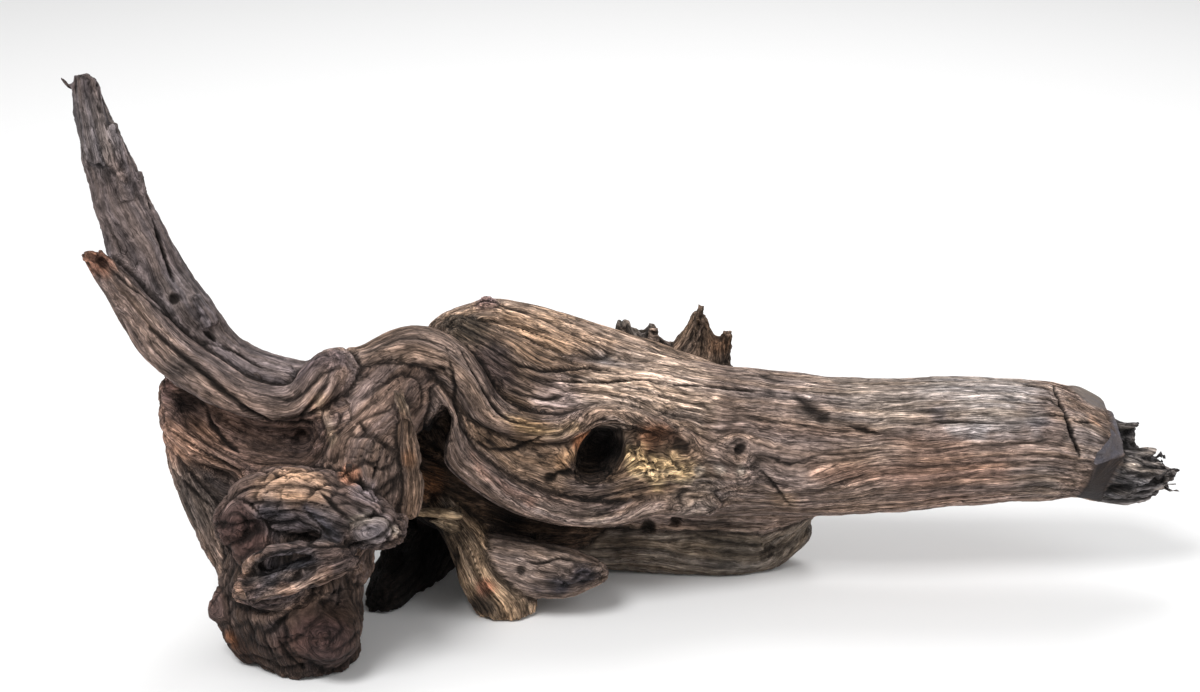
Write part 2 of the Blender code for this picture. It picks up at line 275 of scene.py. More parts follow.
def smooth_route(rows):
    """The rows with more between them, on a Catmull-Rom curve through all of them."""
    points = np.array(rows, float)
    points[:, :3] += ROUTE_SHIFT
    ends = np.vstack((points[0] * 2 - points[1], points, points[-1] * 2 - points[-2]))
    fine = []
    for before, start, stop, after in zip(ends, ends[1:], ends[2:], ends[3:]):
        for step in range(STEPS_PER_SPAN):
            t = step / STEPS_PER_SPAN
            fine.append(0.5 * (start * 2 + (stop - before) * t
                               + (before * 2 - start * 5 + stop * 4 - after) * t ** 2
                               + (start * 3 - before - stop * 3 + after) * t ** 3))
    fine.append(points[-1])
    return np.array(fine) * MM


def unit(rows):
    return rows / np.maximum(np.linalg.norm(rows, axis=-1, keepdims=True), 1e-12)


def grain_on_limb(spots, rows):
    """For each spot: its height over the limb's oval, and its place across, to the front and along."""
    route = smooth_route(rows)
    places, halves = route[:, :3], np.maximum(route[:, 3:], 1 * MM)
    tangents = unit(np.gradient(places, axis=0))
    fronts = FRONT - tangents * (tangents @ FRONT)[:, None]
    upright = np.linalg.norm(fronts, axis=1) < 0.3
    fronts[upright] = np.cross((1.0, 0, 0), tangents[upright])
    fronts = unit(fronts)
    acrosses = np.cross(tangents, fronts)
    lengths = np.linalg.norm(np.diff(places, axis=0), axis=1)
    gone = np.concatenate(((0,), np.cumsum(lengths)))
    size = halves.mean()
    best = np.full(len(spots), np.inf)
    found = np.zeros((len(spots), 4))
    for i in range(len(lengths)):
        step = places[i + 1] - places[i]
        share = np.clip((spots - places[i]) @ step / (step @ step), 0, 1)
        off = spots - places[i] - share[:, None] * step
        far = np.einsum("ij,ij->i", off, off)
        near = far < best
        best[near] = far[near]
        share, off = share[near, None], off[near]
        across = acrosses[i] + share * (acrosses[i + 1] - acrosses[i])
        front = fronts[i] + share * (fronts[i + 1] - fronts[i])
        half = halves[i] + share * (halves[i + 1] - halves[i])
        a = np.einsum("ij,ij->i", off, across) / half[:, 0]
        b = np.einsum("ij,ij->i", off, front) / half[:, 1]
        beyond = np.einsum("ij,j->i", off, tangents[i])
        round_it = np.sqrt(a ** 2 + b ** 2 + (beyond / half.min(axis=1)) ** 2)
        found[near, 0] = (round_it - 1) * half.min(axis=1)
        found[near, 1] = a * size
        found[near, 2] = b * size
        found[near, 3] = gone[i] + share[:, 0] * lengths[i] + beyond
    return found


print("each span of a route is cut into", STEPS_PER_SPAN, "steps")

# %% Find each spot's nearest limb
LIMB_MARGIN = 30


def vertex_array(mesh, what):
    """The mesh's vertex places ("co") or normals ("normal") as rows of x, y, z."""
    values = np.zeros(len(mesh.vertices) * 3)
    mesh.vertices.foreach_get(what, values)
    return values.reshape(-1, 3)


spots = vertex_array(skin, "co")
normals = vertex_array(skin, "normal")
limb_names = list(ROUTES)
first = np.full(len(spots), 1.0)
second = np.full(len(spots), 1.0)
limb_of = np.zeros(len(spots), int)
grain = np.zeros((len(spots), 3))
for number, name in enumerate(limb_names):
    middles = (np.array(ROUTES[name])[:, :3] + ROUTE_SHIFT) * MM
    reach = (np.array(ROUTES[name])[:, 3:].max() + LIMB_MARGIN) * MM
    close = np.nonzero(((spots > middles.min(axis=0) - reach)
                        & (spots < middles.max(axis=0) + reach)).all(axis=1))[0]
    found = grain_on_limb(spots[close], ROUTES[name])
    height = found[:, 0]
    nearer = height < first[close]
    second[close] = np.where(nearer, first[close], np.minimum(second[close], height))
    won = close[nearer]
    first[won] = height[nearer]
    limb_of[won] = number
    grain[won] = found[nearer, 1:]
seam_gap = second - first
print("spots:", len(spots), "on the trunk:", int((limb_of == limb_names.index("trunk")).sum()))

# %% [markdown]
# A fold's grain must not jump where the trunk's takes over. So each fold's grain is first moved
# sideways to agree with the trunk's, on average, where they meet. Then it fades into it.

# %% Turn the folds' grain into the trunk's
TRUNK_UNDERSIDE = 74 * MM
MEET_X = 10 * MM
MEET_HALF = 14 * MM
FADE_START, FADE_LENGTH = -30 * MM, 70 * MM

near_trunk = np.nonzero((spots[:, 0] > -32 * MM) & (spots[:, 0] < 140 * MM)
                        & (spots[:, 1] < 75 * MM) & (spots[:, 2] > TRUNK_UNDERSIDE))[0]
trunk_grain = grain_on_limb(spots[near_trunk], ROUTES["trunk"])[:, 1:]
reached = np.abs(spots[near_trunk, 0] - MEET_X) < MEET_HALF
for number in np.unique(limb_of[near_trunk]):
    mine = reached & (limb_of[near_trunk] == number)
    if mine.any():
        grain[limb_of == number] += (trunk_grain - grain[near_trunk])[mine].mean(axis=0)
share = np.clip((spots[near_trunk, 0] - FADE_START) / FADE_LENGTH, 0, 1)[:, None]
grain[near_trunk] += (trunk_grain - grain[near_trunk]) * share * share * (3 - 2 * share)
print("blended the grain of", len(near_trunk), "spots")

# %% [markdown]
# ## Knots, and grain that flows
# A knot is where a branch left the trunk. Its own rings run round it, and the trunk's grain parts
# and closes round it as water does round a post. That flow has a simple form: a line at height h
# beside a post of radius r is pushed to h (1 - r^2 / d^2) at a distance d. On the trunk's lower
# side the grain also sweeps down in a curl, which is a slope added to the height there.

# %% Bend the grain round the knots and through the curl
FLOW_KNOTS = (
    # middle, radius in mm: what the trunk's grain flows round
    ((-36, -15, 148), 26),
    ((76, 2, 134), 8),
    ((30, -10, 143), 10),
)
CURL_MIDDLE = np.array((72, 0, 100)) * MM
CURL_REACH = np.array((72, 60, 24)) * MM
CURL_SLOPE = 0.45


def lumps(where, size_mm, shift=0.0):
    """Smooth noise from -1 to 1, with lumps of about this size."""
    rows = (where / (size_mm * MM) + shift).tolist()
    return np.fromiter((noise.noise(row) for row in rows), float, len(rows))


wander = lumps(spots, 45, 3.1)
grain[:, 0] += 3.5 * MM * wander
for middle, radius in FLOW_KNOTS:
    off = spots - np.array(middle) * MM
    radius = radius * MM
    far = np.maximum(off[:, 0] ** 2 + off[:, 2] ** 2, radius ** 2)
    facing = np.clip(1 - off[:, 1] / (60 * MM), 0, 1)
    grain[:, 0] += facing * off[:, 2] * radius ** 2 / far
off = spots - CURL_MIDDLE
curl = np.exp(-((off / CURL_REACH) ** 2).sum(axis=1))
grain[:, 0] -= curl * (CURL_SLOPE * off[:, 0] + 0.7 * MM * np.sin(off[:, 0] / (9 * MM)))
print("the curl reaches", int((curl > 0.3).sum()), "spots")

# %% Rings round the cut and broken knots
RING_KNOTS = (
    # middle, the way it faces, radius in mm, how oval it is, how close its rings lie
    ((-247, -150, 43), (0.05, -1.0, 0.15), 31, 1.0, 0.30),
    ((-208, -144, 128), (0.35, -1.0, 0.2), 16, 0.8, 0.80),
    ((-310, -121, 116), (-0.5, -1.0, 0.2), 22, 1.3, 0.30),
    ((-247, -66, 190), (-0.4, -1.0, 0.4), 8, 1.2, 0.80),
    ((-338, -111, 50), (-0.9, -0.6, 0.2), 17, 1.0, 0.50),
    ((104, 125, 176), (0.8, 0.3, 0.5), 10, 1.0, 0.80),
)
KNOT_FURROWS = 0.45

ring_edge = np.zeros(len(spots))
knot_calm = np.ones(len(spots))
for middle, faces_way, radius, oval, spacing in RING_KNOTS:
    way = unit(np.array(faces_way))
    side = unit(np.cross((0, 0, 1), way))
    up = np.cross(way, side)
    off = spots - np.array(middle) * MM
    sideways, upwards, out = off @ side, off @ up / oval, off @ way
    ring = np.hypot(sideways, upwards) + 0.22 * radius * MM * lumps(spots, 17, radius)
    inside = (ring < radius * MM) & (np.abs(out) < radius * MM)
    turn = np.arctan2(upwards, sideways)
    grain[inside] = np.stack((ring * spacing, out * 0.3, turn * radius * MM * 0.6), axis=1)[inside]
    near_edge = np.exp(-((ring / MM - radius) / 1.6) ** 2) * (np.abs(out) < radius * MM)
    ring_edge = np.maximum(ring_edge, near_edge * np.clip(0.4 + lumps(spots, 19, middle[0]), 0, 1))
    knot_calm[inside] = KNOT_FURROWS
print("knots:", len(FLOW_KNOTS), "that the grain flows round and", len(RING_KNOTS), "with rings")

# %% [markdown]
# ## What each limb's wood is like
# The horn is a nearly smooth plank and the ropes are deeply furrowed. The burl is knotted wood
# that cracks into blocks as it dries. Each limb gets a colour, a depth for its furrows and a
# share of cracking, and these soften into each other over a few millimetres.

# %% Each limb's colour, furrow depth in mm, share of cracks, seam depth in mm, and line strength
LIMB_WOOD = {
    "horn": ("#6e6361", 0.45, 0.10, 3.0, 0.40),
    "strand": ("#776760", 0.60, 0.00, 3.5, 0.60),
    "rim": ("#77655b", 1.1, 0.10, 1.5, 0.80),
    "bowl": ("#7b645a", 1.0, 0.05, 1.5, 0.60),
    "burl": ("#463932", 0.7, 0.40, 1.5, 0.55),
    "burl_brow": ("#5f504a", 1.1, 0.60, 1.5, 0.60),
    "burl_fold": ("#584a45", 1.0, 0.20, 3.0, 0.80),
    "knee": ("#6a584f", 0.45, 0.55, 1.5, 0.50),
    "flange": ("#6c594c", 0.7, 0.10, 2.0, 0.70),
    "rope_upper": ("#7a685d", 0.8, 0.00, 3.0, 0.90),
    "rope_lower": ("#74635a", 0.85, 0.00, 3.0, 0.90),
    "fold_bed": ("#6f5c4d", 1.0, 0.00, 1.5, 0.85),
    "valley": ("#6d5b4e", 1.1, 0.00, 1.5, 0.95),
    "crest": ("#917c6c", 1.0, 0.00, 1.5, 1.00),
    "trunk": ("#88756a", 0.65, 0.05, 1.0, 0.85),
    "stub": ("#6a6462", 1.6, 0.00, 1.0, 0.60),
    "spur": ("#a3896f", 1.1, 0.00, 1.5, 0.90),
    "spur_toe": ("#87756a", 0.8, 0.15, 1.5, 0.60),
    "peg": ("#b59c7e", 0.1, 0.00, 0.5, 0.70),
    "lobe": ("#7d7165", 0.5, 0.10, 1.0, 0.45),
    "inner_wall": ("#5d4a3c", 1.0, 0.00, 1.5, 0.80),
    # rear_root's near-black brown is painted shade: that root sits in the shadow under the trunk
    "rear_root": ("#332a25", 1.0, 0.10, 1.5, 0.60),
    "rear_foot": ("#4a3e37", 1.0, 0.10, 1.5, 0.60),
    "back_root": ("#6f6259", 1.1, 0.05, 1.5, 0.80),
    "back_horn": ("#6e5c4e", 1.0, 0.00, 1.0, 0.90),
    "knob_small": ("#776d65", 1.0, 0.00, 1.0, 0.80),
}
print("no wood listed for:", [name for name in ROUTES if name not in LIMB_WOOD])

# %% Give every vertex its limb's values, softened into the next limb's
BLUR_ROUNDS = 5


def linear(colour):
    """An sRGB hex colour as linear red, green and blue."""
    parts = [int(colour[i:i + 2], 16) / 255 for i in (1, 3, 5)]
    return [p / 12.92 if p <= 0.04045 else ((p + 0.055) / 1.055) ** 2.4 for p in parts]


wood_rows = np.array([[*linear(LIMB_WOOD[name][0]), *LIMB_WOOD[name][1:]] for name in limb_names])


def blur(values, rounds):
    """Each vertex's value averaged with its neighbours', several times."""
    for _ in range(rounds):
        total = values.copy()
        np.add.at(total, edges[:, 0], values[edges[:, 1]])
        np.add.at(total, edges[:, 1], values[edges[:, 0]])
        values = total / round_each
    return values


edges = np.zeros(len(skin.edges) * 2, int)
skin.edges.foreach_get("vertices", edges)
edges = edges.reshape(-1, 2)
round_each = (1 + np.bincount(edges.ravel(), minlength=len(spots)))[:, None].astype(float)
wood_at = blur(wood_rows[limb_of], BLUR_ROUNDS)
tint = wood_at[:, :3]
furrow, cracked, seam_depth, line_share = wood_at[:, 3:].T
print("mean furrow depth", round(furrow.mean(), 2), "mm")

# %% [markdown]
# ## Carving
# Everything on the surface is carved by moving each vertex in or out along its own normal, as a
# chisel would. First come the seams, which are deepest halfway between two limbs. Then come the
# furrows: noise that is stretched far along the grain and squeezed across it. The narrow valleys
# of one minus its size, raised to a power, read as the soft wood that wore away between rings.

# %% Seams and furrows
SEAM_WIDTH = 3.0
FURROW_STEPS = (
    # width across, length along, depth, all in mm, and how narrow the valleys are
    (15.0, 230.0, 1.9, 3),
    (7.5, 120.0, 1.1, 4),
    (5.0, 55.0, 0.90, 3),
)
FLAKINESS = {"horn": 1.3, "bowl": 0.9, "rim": 1.3, "knee": 0.7, "burl": 0.8, "burl_brow": 0.9,
             "strand": 0.7, "spur": 0.8, "spur_toe": 0.9, "lobe": 0.9, "trunk": 0.8, "flange": 0.8,
             "back_horn": 1.2, "knob_small": 1.2, "back_root": 1.0}
LAYERS = 4
SPLIT_DEPTH = 2.8


def grain_noise(width_mm, length_mm, shift):
    """Noise with lumps this wide across the grain and this long along it."""
    scaled = grain * (1, 1, width_mm / length_mm)
    return lumps(scaled, width_mm, shift)


def valleys(values, power):
    """1 in the middle of a narrow valley, 0 away from it."""
    return np.clip(1 - np.abs(values) * 2.2, 0, 1) ** power


on_trunk = np.clip((spots[:, 0] + 12 * MM) / (26 * MM), 0, 1) * (spots[:, 2] > TRUNK_UNDERSIDE)
on_trunk *= spots[:, 1] < 60 * MM
relief = -seam_depth * np.exp(-((seam_gap / MM) / SEAM_WIDTH) ** 2) * (1 - on_trunk)
grooves = np.zeros(len(spots))
for step, (width, length, depth, power) in enumerate(FURROW_STEPS):
    cut = valleys(grain_noise(width, length, 5.3 * (step + 1)), power)
    relief -= furrow * depth * cut * knot_calm
    grooves = np.maximum(grooves, cut * min(1.0, depth))
relief += 0.8 * lumps(spots, 28, 9.7) * (1 + cracked)
relief += 0.5 * lumps(spots, 9, 2.9) * (0.4 + cracked)
relief -= 2.2 * ring_edge
flaky = np.array([FLAKINESS.get(name, 0.2) for name in limb_names])[limb_of]
flaky = blur(flaky[:, None], 8)[:, 0]
layers = lumps(grain * (1, 1, 0.5), 17, 4.7) + 0.35 * lumps(spots, 6, 1.3)
relief += flaky * (1.2 * np.round(layers * LAYERS) / LAYERS + 0.6 * lumps(grain * (1, 1, 0.3), 7, 3.3))
split = valleys(grain_noise(16, 150, 11.9), 9) * np.clip(3 * lumps(spots, 45, 14.2) - 0.2, 0, 1)
relief -= SPLIT_DEPTH * split * np.clip(furrow, 0, 1)
leaning = spots @ np.array(((0.85, 0, -0.52), (0, 1, 0), (0.52, 0, 0.85)))
folds = lumps(leaning * (0.32, 1, 1), 17, 6.6)
relief -= 3.4 * np.clip(cracked - 0.15, 0, 0.4) * 2.5 * valleys(folds, 3)
print("furrows and seams go", round(-relief.min(), 1), "mm deep")

# %% [markdown]
# ## Cracks, lips and pits
# The larger marks are placed one by one. A crack is a short path that is carved in; a lip is a
# path that stands proud, like the curled rim of an old wound; a pit is a hole or a hollow. Each
# path wavers a little and fades out at its ends, because a ruled line would look man-made.

# %% Where the marks are, in mm: width, depth, then the points of the path
CRACKS = (
    (2.4, 6.0, ((-385, 2, 330), (-380, -2, 313), (-374, -7, 294), (-370, -10, 282))),
    (1.6, 3.0, ((-396, 18, 359), (-390, 11, 346), (-385, 4, 333))),
    (2.6, 5.0, ((-347, -20, 244), (-342, -21, 240), (-338, -22, 236))),
    (1.6, 3.0, ((-338, -22, 236), (-319, -22, 226), (-301, -29, 216))),
    # the crease under the strand: carved, and its dark is painted shadow cast by the strand
    (4.5, 6.0, ((-384, -45, 256), (-365, -47, 240), (-346, -52, 225), (-327, -60, 208),
                (-307, -64, 191), (-286, -56, 178), (-263, -53, 179), (-248, -56, 193))),
    (2.4, 3.0, ((-417, -28, 299), (-400, -31, 286), (-386, -28, 273), (-369, -22, 252),
                (-349, -25, 238), (-327, -23, 229))),
    (2.4, 3.5, ((-347, -30, 180), (-343, -32, 170), (-332, -40, 160), (-319, -52, 155))),
    (2.2, 3.5, ((-319, -60, 156), (-298, -95, 160), (-281, -115, 162), (-267, -113, 165))),
    (2.0, 2.6, ((-376, -43, 171), (-354, -51, 158), (-338, -56, 150), (-322, -61, 143),
                (-293, -110, 156))),
    (1.8, 2.2, ((-379, -34, 179), (-363, -40, 168), (-346, -47, 162), (-333, -52, 156))),
    (1.8, 2.4, ((-363, -48, 150), (-344, -49, 134), (-315, -105, 146))),
    (1.8, 2.2, ((-374, -45, 136), (-359, -58, 127), (-341, -66, 115))),
    (1.7, 3.5, ((-222, -101, 159), (-216, -107, 152), (-208, -114, 147), (-202, -124, 143))),
    (1.5, 2.6, ((-205, -85, 168), (-207, -94, 159), (-211, -102, 152))),
    (1.5, 2.6, ((-219, -94, 167), (-211, -94, 163), (-205, -90, 163))),
    (1.8, 3.0, ((-224, -69, 191), (-217, -76, 184), (-216, -80, 181))),
    (3.0, 4.0, ((-245, -58, 216), (-257, -60, 201), (-267, -60, 187), (-274, -45, 171))),
    (3.4, 6.0, ((-306, -141, 66), (-290, -150, 70), (-270, -152, 77), (-251, -156, 86),
                (-235, -152, 94))),
    (1.8, 2.0, ((-300, -148, 84), (-286, -153, 88), (-270, -157, 94), (-255, -158, 103),
                (-240, -156, 111))),
    (2.8, 4.0, ((-318, -124, 44), (-300, -138, 40), (-286, -146, 46), (-280, -148, 54),
                (-266, -145, 66), (-240, -134, 66))),
    (2.4, 4.0, ((-282, -148, 38), (-276, -147, 22), (-262, -145, 10))),
    (2.2, 3.0, ((-298, -127, 138), (-293, -127, 130), (-289, -125, 120), (-280, -130, 117),
                (-262, -150, 122))),
    (2.2, 3.0, ((-262, -137, 146), (-255, -139, 137), (-244, -142, 128), (-236, -149, 123))),
    (2.6, 3.0, ((-248, -130, 156), (-240, -136, 150), (-232, -140, 142), (-224, -142, 136))),
    (2.2, 4.0, ((-204, -128, 143), (-208, -139, 138))),
    (1.8, 4.0, ((-244, -150, 50), (-245, -152, 41))),
    (2.0, 4.0, ((-142, -29, 164), (-135, -25, 154), (-126, -23, 146), (-116, -22, 144),
                (-104, -19, 143), (-92, -19, 149), (-80, -25, 156))),
    (3.0, 4.5, ((-151, 3, 228), (-139, -13, 215), (-127, -21, 196), (-118, -18, 179),
                (-107, -22, 170), (-84, -22, 166))),
    (2.4, 3.0, ((-157, -11, 229), (-153, -23, 213), (-151, -23, 187), (-145, -29, 168),
                (-133, -26, 147))),
    (2.0, 3.0, ((-116, 4, 189), (-100, 2, 182), (-80, 1, 178), (-60, 4, 181))),
    (3.0, 4.0, ((-116, 17, 213), (-100, 14, 205), (-80, 16, 199), (-44, 34, 195),
                (-20, 30, 191))),
    (2.4, 4.5, ((-80, 8, 192), (-44, 16, 189), (-4, 26, 187), (17, 27, 182))),
    (1.8, 2.4, ((17, 27, 182), (45, 32, 179), (78, 35, 175), (119, 37, 170))),
    # this wide, shallow crack paints the shadow under an overhanging chip: painted shadow
    (8.0, 1.8, ((122, 38, 170), (130, 30, 165), (140, 24, 158), (152, 19, 151))),
    (1.8, 2.6, ((152, 18, 151), (170, 14, 149), (191, 10, 145))),
    (3.4, 4.5, ((-46, 0, 118), (-60, -23, 125), (-70, -23, 124), (-75, -24, 120))),
    (1.6, 2.0, ((95, 2, 115), (102, 5, 106), (111, 8, 94), (120, 16, 79))),
    (2.4, 6.0, ((338, 75, 166), (339, 54, 166), (342, 39, 161), (344, 22, 154),
                (347, 15, 144), (351, 11, 134), (355, 10, 122))),
    (1.6, 2.6, ((343, 21, 154), (355, 23, 151), (373, 36, 146))),
    (1.6, 2.2, ((231, 15, 154), (256, 15, 154), (288, 15, 152))),
    (2.4, 3.0, ((187, 20, 72), (228, 24, 73), (260, 21, 79), (307, 15, 90))),
    (1.6, 2.6, ((-100, -36, 56), (-88, -39, 53), (-80, -37, 53), (-68, -32, 54),
                (-56, -30, 51))),
)
LIPS = (
    (3.5, 3.5, ((-364, -53, 216), (-354, -55, 216), (-346, -57, 210), (-342, -54, 200))),
    (4.0, 3.0, ((-244, -57, 214), (-251, -59, 203), (-252, -57, 190), (-247, -64, 183),
                (-243, -79, 176))),
    (4.0, 4.5, ((-316, -129, 61), (-310, -145, 84), (-302, -150, 103), (-293, -156, 114),
                (-285, -156, 119), (-272, -157, 122))),
    (3.5, 2.5, ((-312, -146, 75), (-300, -152, 76), (-287, -158, 83), (-265, -164, 90),
                (-250, -166, 98), (-236, -162, 107))),
    (5.0, 4.0, ((-318, -128, 52), (-303, -140, 52), (-288, -147, 58), (-276, -148, 63),
                (-261, -144, 68), (-248, -136, 73), (-233, -119, 76))),
    (3.0, 2.5, ((-236, -138, 62), (-228, -130, 64), (-221, -118, 62))),
    (4.0, 3.0, ((-306, -128, 140), (-292, -127, 130), (-290, -127, 118))),
    (4.0, 3.0, ((-52, -5, 160), (-38, -16, 174), (-20, -16, 170), (-8, -14, 155))),
    (3.5, 3.5, ((-16, -13, 177), (8, -14, 166), (28, -10, 157), (40, -9, 146))),
    (2.5, 2.0, ((-108, -42, 56), (-101, -44, 52), (-95, -43, 47), (-99, -42, 41))),
    (3.0, 1.8, ((31, -16, 119), (44, -13, 122), (61, -9, 121), (79, -4, 118))),
)
PITS = (
    # middle, radius, depth
    ((-359, -35, 190), 11, 8.0), ((-417, 15, 399), 4, 4.0), ((-370, -15, 268), 4, 4.0),
    ((-279, -148, 95), 15, 3.0), ((-258, -152, 102), 11, 3.0), ((-75, -24, 119), 5, 5.0),
    ((16, -9, 148), 13, 4.0), ((30, -10, 142), 6, 2.5), ((78, 2, 135), 4, 5.0),
    ((70, -2, 129), 9, 2.5), ((146, 22, 155), 6, 2.0),
    ((27, 40, 53), 4, 5.0), ((4, 39, 49), 6, 5.0), ((-216, -76, 184), 7, 3.0),
    ((-90, 15, 205), 20, 3.0), ((-100, -42, 47), 4, 3.0),
)
print(len(CRACKS), "cracks,", len(LIPS), "lips and", len(PITS), "pits")

# %% Carve the marks
PATH_MARGIN = 15 * MM


def off_path(path):
    """Each spot's distance from a path in metres, and its share of the way along it."""
    points = np.array(path, float) * MM
    lengths = np.linalg.norm(np.diff(points, axis=0), axis=1)
    gone = np.concatenate(((0,), np.cumsum(lengths)))
    near = np.nonzero(((spots > points.min(axis=0) - PATH_MARGIN)
                       & (spots < points.max(axis=0) + PATH_MARGIN)).all(axis=1))[0]
    best = np.full(len(near), np.inf)
    where = np.zeros(len(near))
    for i, length in enumerate(lengths):
        step = points[i + 1] - points[i]
        share = np.clip((spots[near] - points[i]) @ step / (step @ step), 0, 1)
        far = np.linalg.norm(spots[near] - points[i] - share[:, None] * step, axis=1)
        where = np.where(far < best, (gone[i] + share * length) / gone[-1], where)
        best = np.minimum(best, far)
    return near, best, where


waver = 1.3 * MM * lumps(spots, 11, 6.1)
dark = 0.8 * split
for width, depth, path in CRACKS:
    near, far, where = off_path(path)
    fade = np.sqrt(np.clip(np.sin(np.pi * (0.06 + 0.88 * where)), 0, 1))
    profile = np.clip(1 - np.abs(far + waver[near] * 0.8) / (width * MM * fade + 1e-6), 0, 1)
    relief[near] -= depth * fade * profile ** 0.8
    dark[near] = np.maximum(dark[near], np.clip(profile * fade * 1.3, 0, 1))
for width, height, path in LIPS:
    near, far, where = off_path(path)
    fade = np.sqrt(np.sin(np.pi * (0.04 + 0.92 * where)))
    relief[near] += height * fade * np.exp(-((far + waver[near]) / (width * MM)) ** 2)
# pits are painted darker the deeper and narrower they are: painted shade in the hollow
for middle, radius, depth in PITS:
    far = np.linalg.norm(spots - np.array(middle) * MM, axis=1) + 1.5 * waver
    profile = np.exp(-(np.clip(far, 0, None) / (radius * MM)) ** 4)
    relief -= depth * profile
    dark = np.maximum(dark, profile * min(0.75, depth / (radius + 2)))
print("dark marks cover", int((dark > 0.3).sum()), "spots")

# %% [markdown]
# ## Blocks, torn fibres and the sawn end
# Knotted wood shrinks into small blocks with cracks between them. Voronoi noise gives that: a
# spot where the nearest two cell middles are equally far away is on a crack. Torn fibres stand up
# in short steep tufts. The sawn facets, in contrast, were cut by a blade, so no furrow crosses
# them: they are found by which way they face and by their corners, seen from the front.

# %% Carve the blocks and the torn patch
BLOCK_SIZE = 19.0
BLOCK_CRACK_SHARE = 0.055
BLOCK_CRACK_DEPTH = 2.4
TORN = (
    # middle and radius of the fresh torn patch, in mm
    ((-6, -19, 135), 11), ((6, -21, 130), 12), ((17, -21, 127), 12), ((28, -19, 123), 10),
    ((10, -22, 120), 10),
)

blocky = np.nonzero(cracked > 0.05)[0]
bent = spots[blocky] + 6 * MM * np.stack([lumps(spots[blocky], 14, k) for k in (1, 2, 3)], axis=1)
gaps = []
for row in (bent / (BLOCK_SIZE * MM)).tolist():
    nearest = noise.voronoi(row)[0]
    gaps.append(nearest[1] - nearest[0])
open_here = np.clip(0.5 + 2.2 * lumps(spots[blocky], 30, 7.7), 0, 1)
on_crack = np.clip(1 - np.array(gaps) / BLOCK_CRACK_SHARE, 0, 1) * cracked[blocky] * open_here
relief[blocky] -= BLOCK_CRACK_DEPTH * on_crack
dark[blocky] = np.maximum(dark[blocky], 0.8 * on_crack)

torn = np.zeros(len(spots))
for middle, radius in TORN:
    far = np.linalg.norm(spots - np.array(middle) * MM, axis=1) / (radius * MM) + 0.5 * waver / MM
    torn = np.maximum(torn, np.clip(1.6 - far * 1.2, 0, 1))
tufts = lumps(spots * (0.8, 1, 1.2), 3.2, 8.8)
relief += torn * np.clip(tufts * 1.6, -1, 1)
print("torn:", int((torn > 0.3).sum()), "spots; may crack into blocks:", len(blocky))

# %% Keep the saw cuts flat, and split the stub into fibres
SAW_CUTS = (
    # a point on the cut, the way it faces, then its corners seen from the front as x and z, in mm
    ((362, 66, 158), (0.48, -0.16, 0.86), ((341, 164), (352, 159), (372, 149), (386, 139),
                                          (392, 150), (345, 175))),
    ((382, 33, 125), (0.56, -0.63, 0.53), ((389, 141), (370, 127), (366, 117), (396, 116))),
    ((376, 22, 100), (0.61, -0.78, -0.155), ((397, 116), (367, 117), (354, 83), (376, 74))),
)
STUB_EDGE_HEIGHTS = (74, 92, 116, 124, 140)
STUB_EDGE_PLACES = (375, 382, 396, 388, 388)


def inside_corners(corners):
    """1 inside the corners, seen from the front, and 0 outside, with a narrow soft edge."""
    share = np.ones(len(spots))
    for (x0, z0), (x1, z1) in zip(corners, corners[1:] + corners[:1]):
        long = math.hypot(x1 - x0, z1 - z0)
        depth = ((x1 - x0) * (spots[:, 2] / MM - z0) - (z1 - z0) * (spots[:, 0] / MM - x0)) / long
        share = np.minimum(share, np.clip(depth + 0.5, 0, 1))
    return share


sawn = np.zeros(len(spots))
cut_of = np.zeros(len(spots), int)
for number, (point, faces_way, corners) in enumerate(SAW_CUTS):
    facing = np.clip((normals @ unit(np.array(faces_way)) - 0.45) * 6, 0, 1)
    inside = inside_corners(corners) * facing
    cut_of[inside > sawn] = number
    sawn = np.maximum(sawn, inside)
relief *= 1 - 0.95 * sawn
stub_edge = np.interp(spots[:, 2] / MM, STUB_EDGE_HEIGHTS, STUB_EDGE_PLACES)
past_edge = spots[:, 0] / MM - stub_edge
stub_share = np.clip(past_edge / 2.5, 0, 1) * (1 - sawn)
stub_fibres = lumps(spots * (0.05, 1, 1), 6.0, 4.4) + 0.5 * lumps(spots * (0.08, 1, 1), 3.0, 2.2)
relief -= stub_share * (1.5 - 4.0 * np.clip(stub_fibres, -0.8, 0.6))
print("sawn:", int((sawn > 0.5).sum()), "spots; stub:", int((stub_share > 0.5).sum()))

# %% [markdown]
# The edges of a piece like this are never smooth: the thin parts are chewed and flaked. So where
# the surface turns away sharply, the relief gets an extra, sharper noise. How sharply it turns is
# how much the average of the normals round a vertex is shorter than 1. A ray sent inwards from
# each vertex says how thick the wood is there, so that a thin splinter isn't carved right away.

# %% Flake the thin edges, then move every vertex
FLAKE_DEPTH = 2.6
THIN_SHARE = 0.16
THICK_ENOUGH = 60 * MM

average = blur(normals, 6)
turning = 1 - np.clip(np.linalg.norm(average, axis=1), 0, 1)
edge_share = np.clip((turning - 0.02) / 0.10, 0, 1)
flakes = lumps(spots, 4.5, 12.5) + 0.6 * lumps(spots, 9, 7.7)
ragged = FLAKE_DEPTH * edge_share * (1 - sawn) * (1 - stub_share) * np.clip(furrow * 1.5, 0, 1)
relief += ragged * np.clip(flakes, -1, 0.6)
skin_tree = BVHTree.FromPolygons(spots.tolist(), [tuple(face.vertices) for face in skin.polygons])
thickness = np.full(len(spots), THICK_ENOUGH)
for index, (place, normal) in enumerate(zip(spots.tolist(), normals.tolist())):
    inward = -Vector(normal)
    far = skin_tree.ray_cast(Vector(place) + inward * 0.5 * MM, inward, THICK_ENOUGH)[3]
    if far is not None:
        thickness[index] = far
thickness = blur(thickness[:, None], 2)[:, 0]
relief = np.maximum(relief, -THIN_SHARE * thickness / MM)
carved = spots + normals * (relief * MM)[:, None]
for number, (point, faces_way, corners) in enumerate(SAW_CUTS):
    way = unit(np.array(faces_way))
    proud = np.clip((carved - np.array(point) * MM) @ way, -3 * MM, 6 * MM)
    carved -= way * (proud * sawn * (cut_of == number))[:, None]
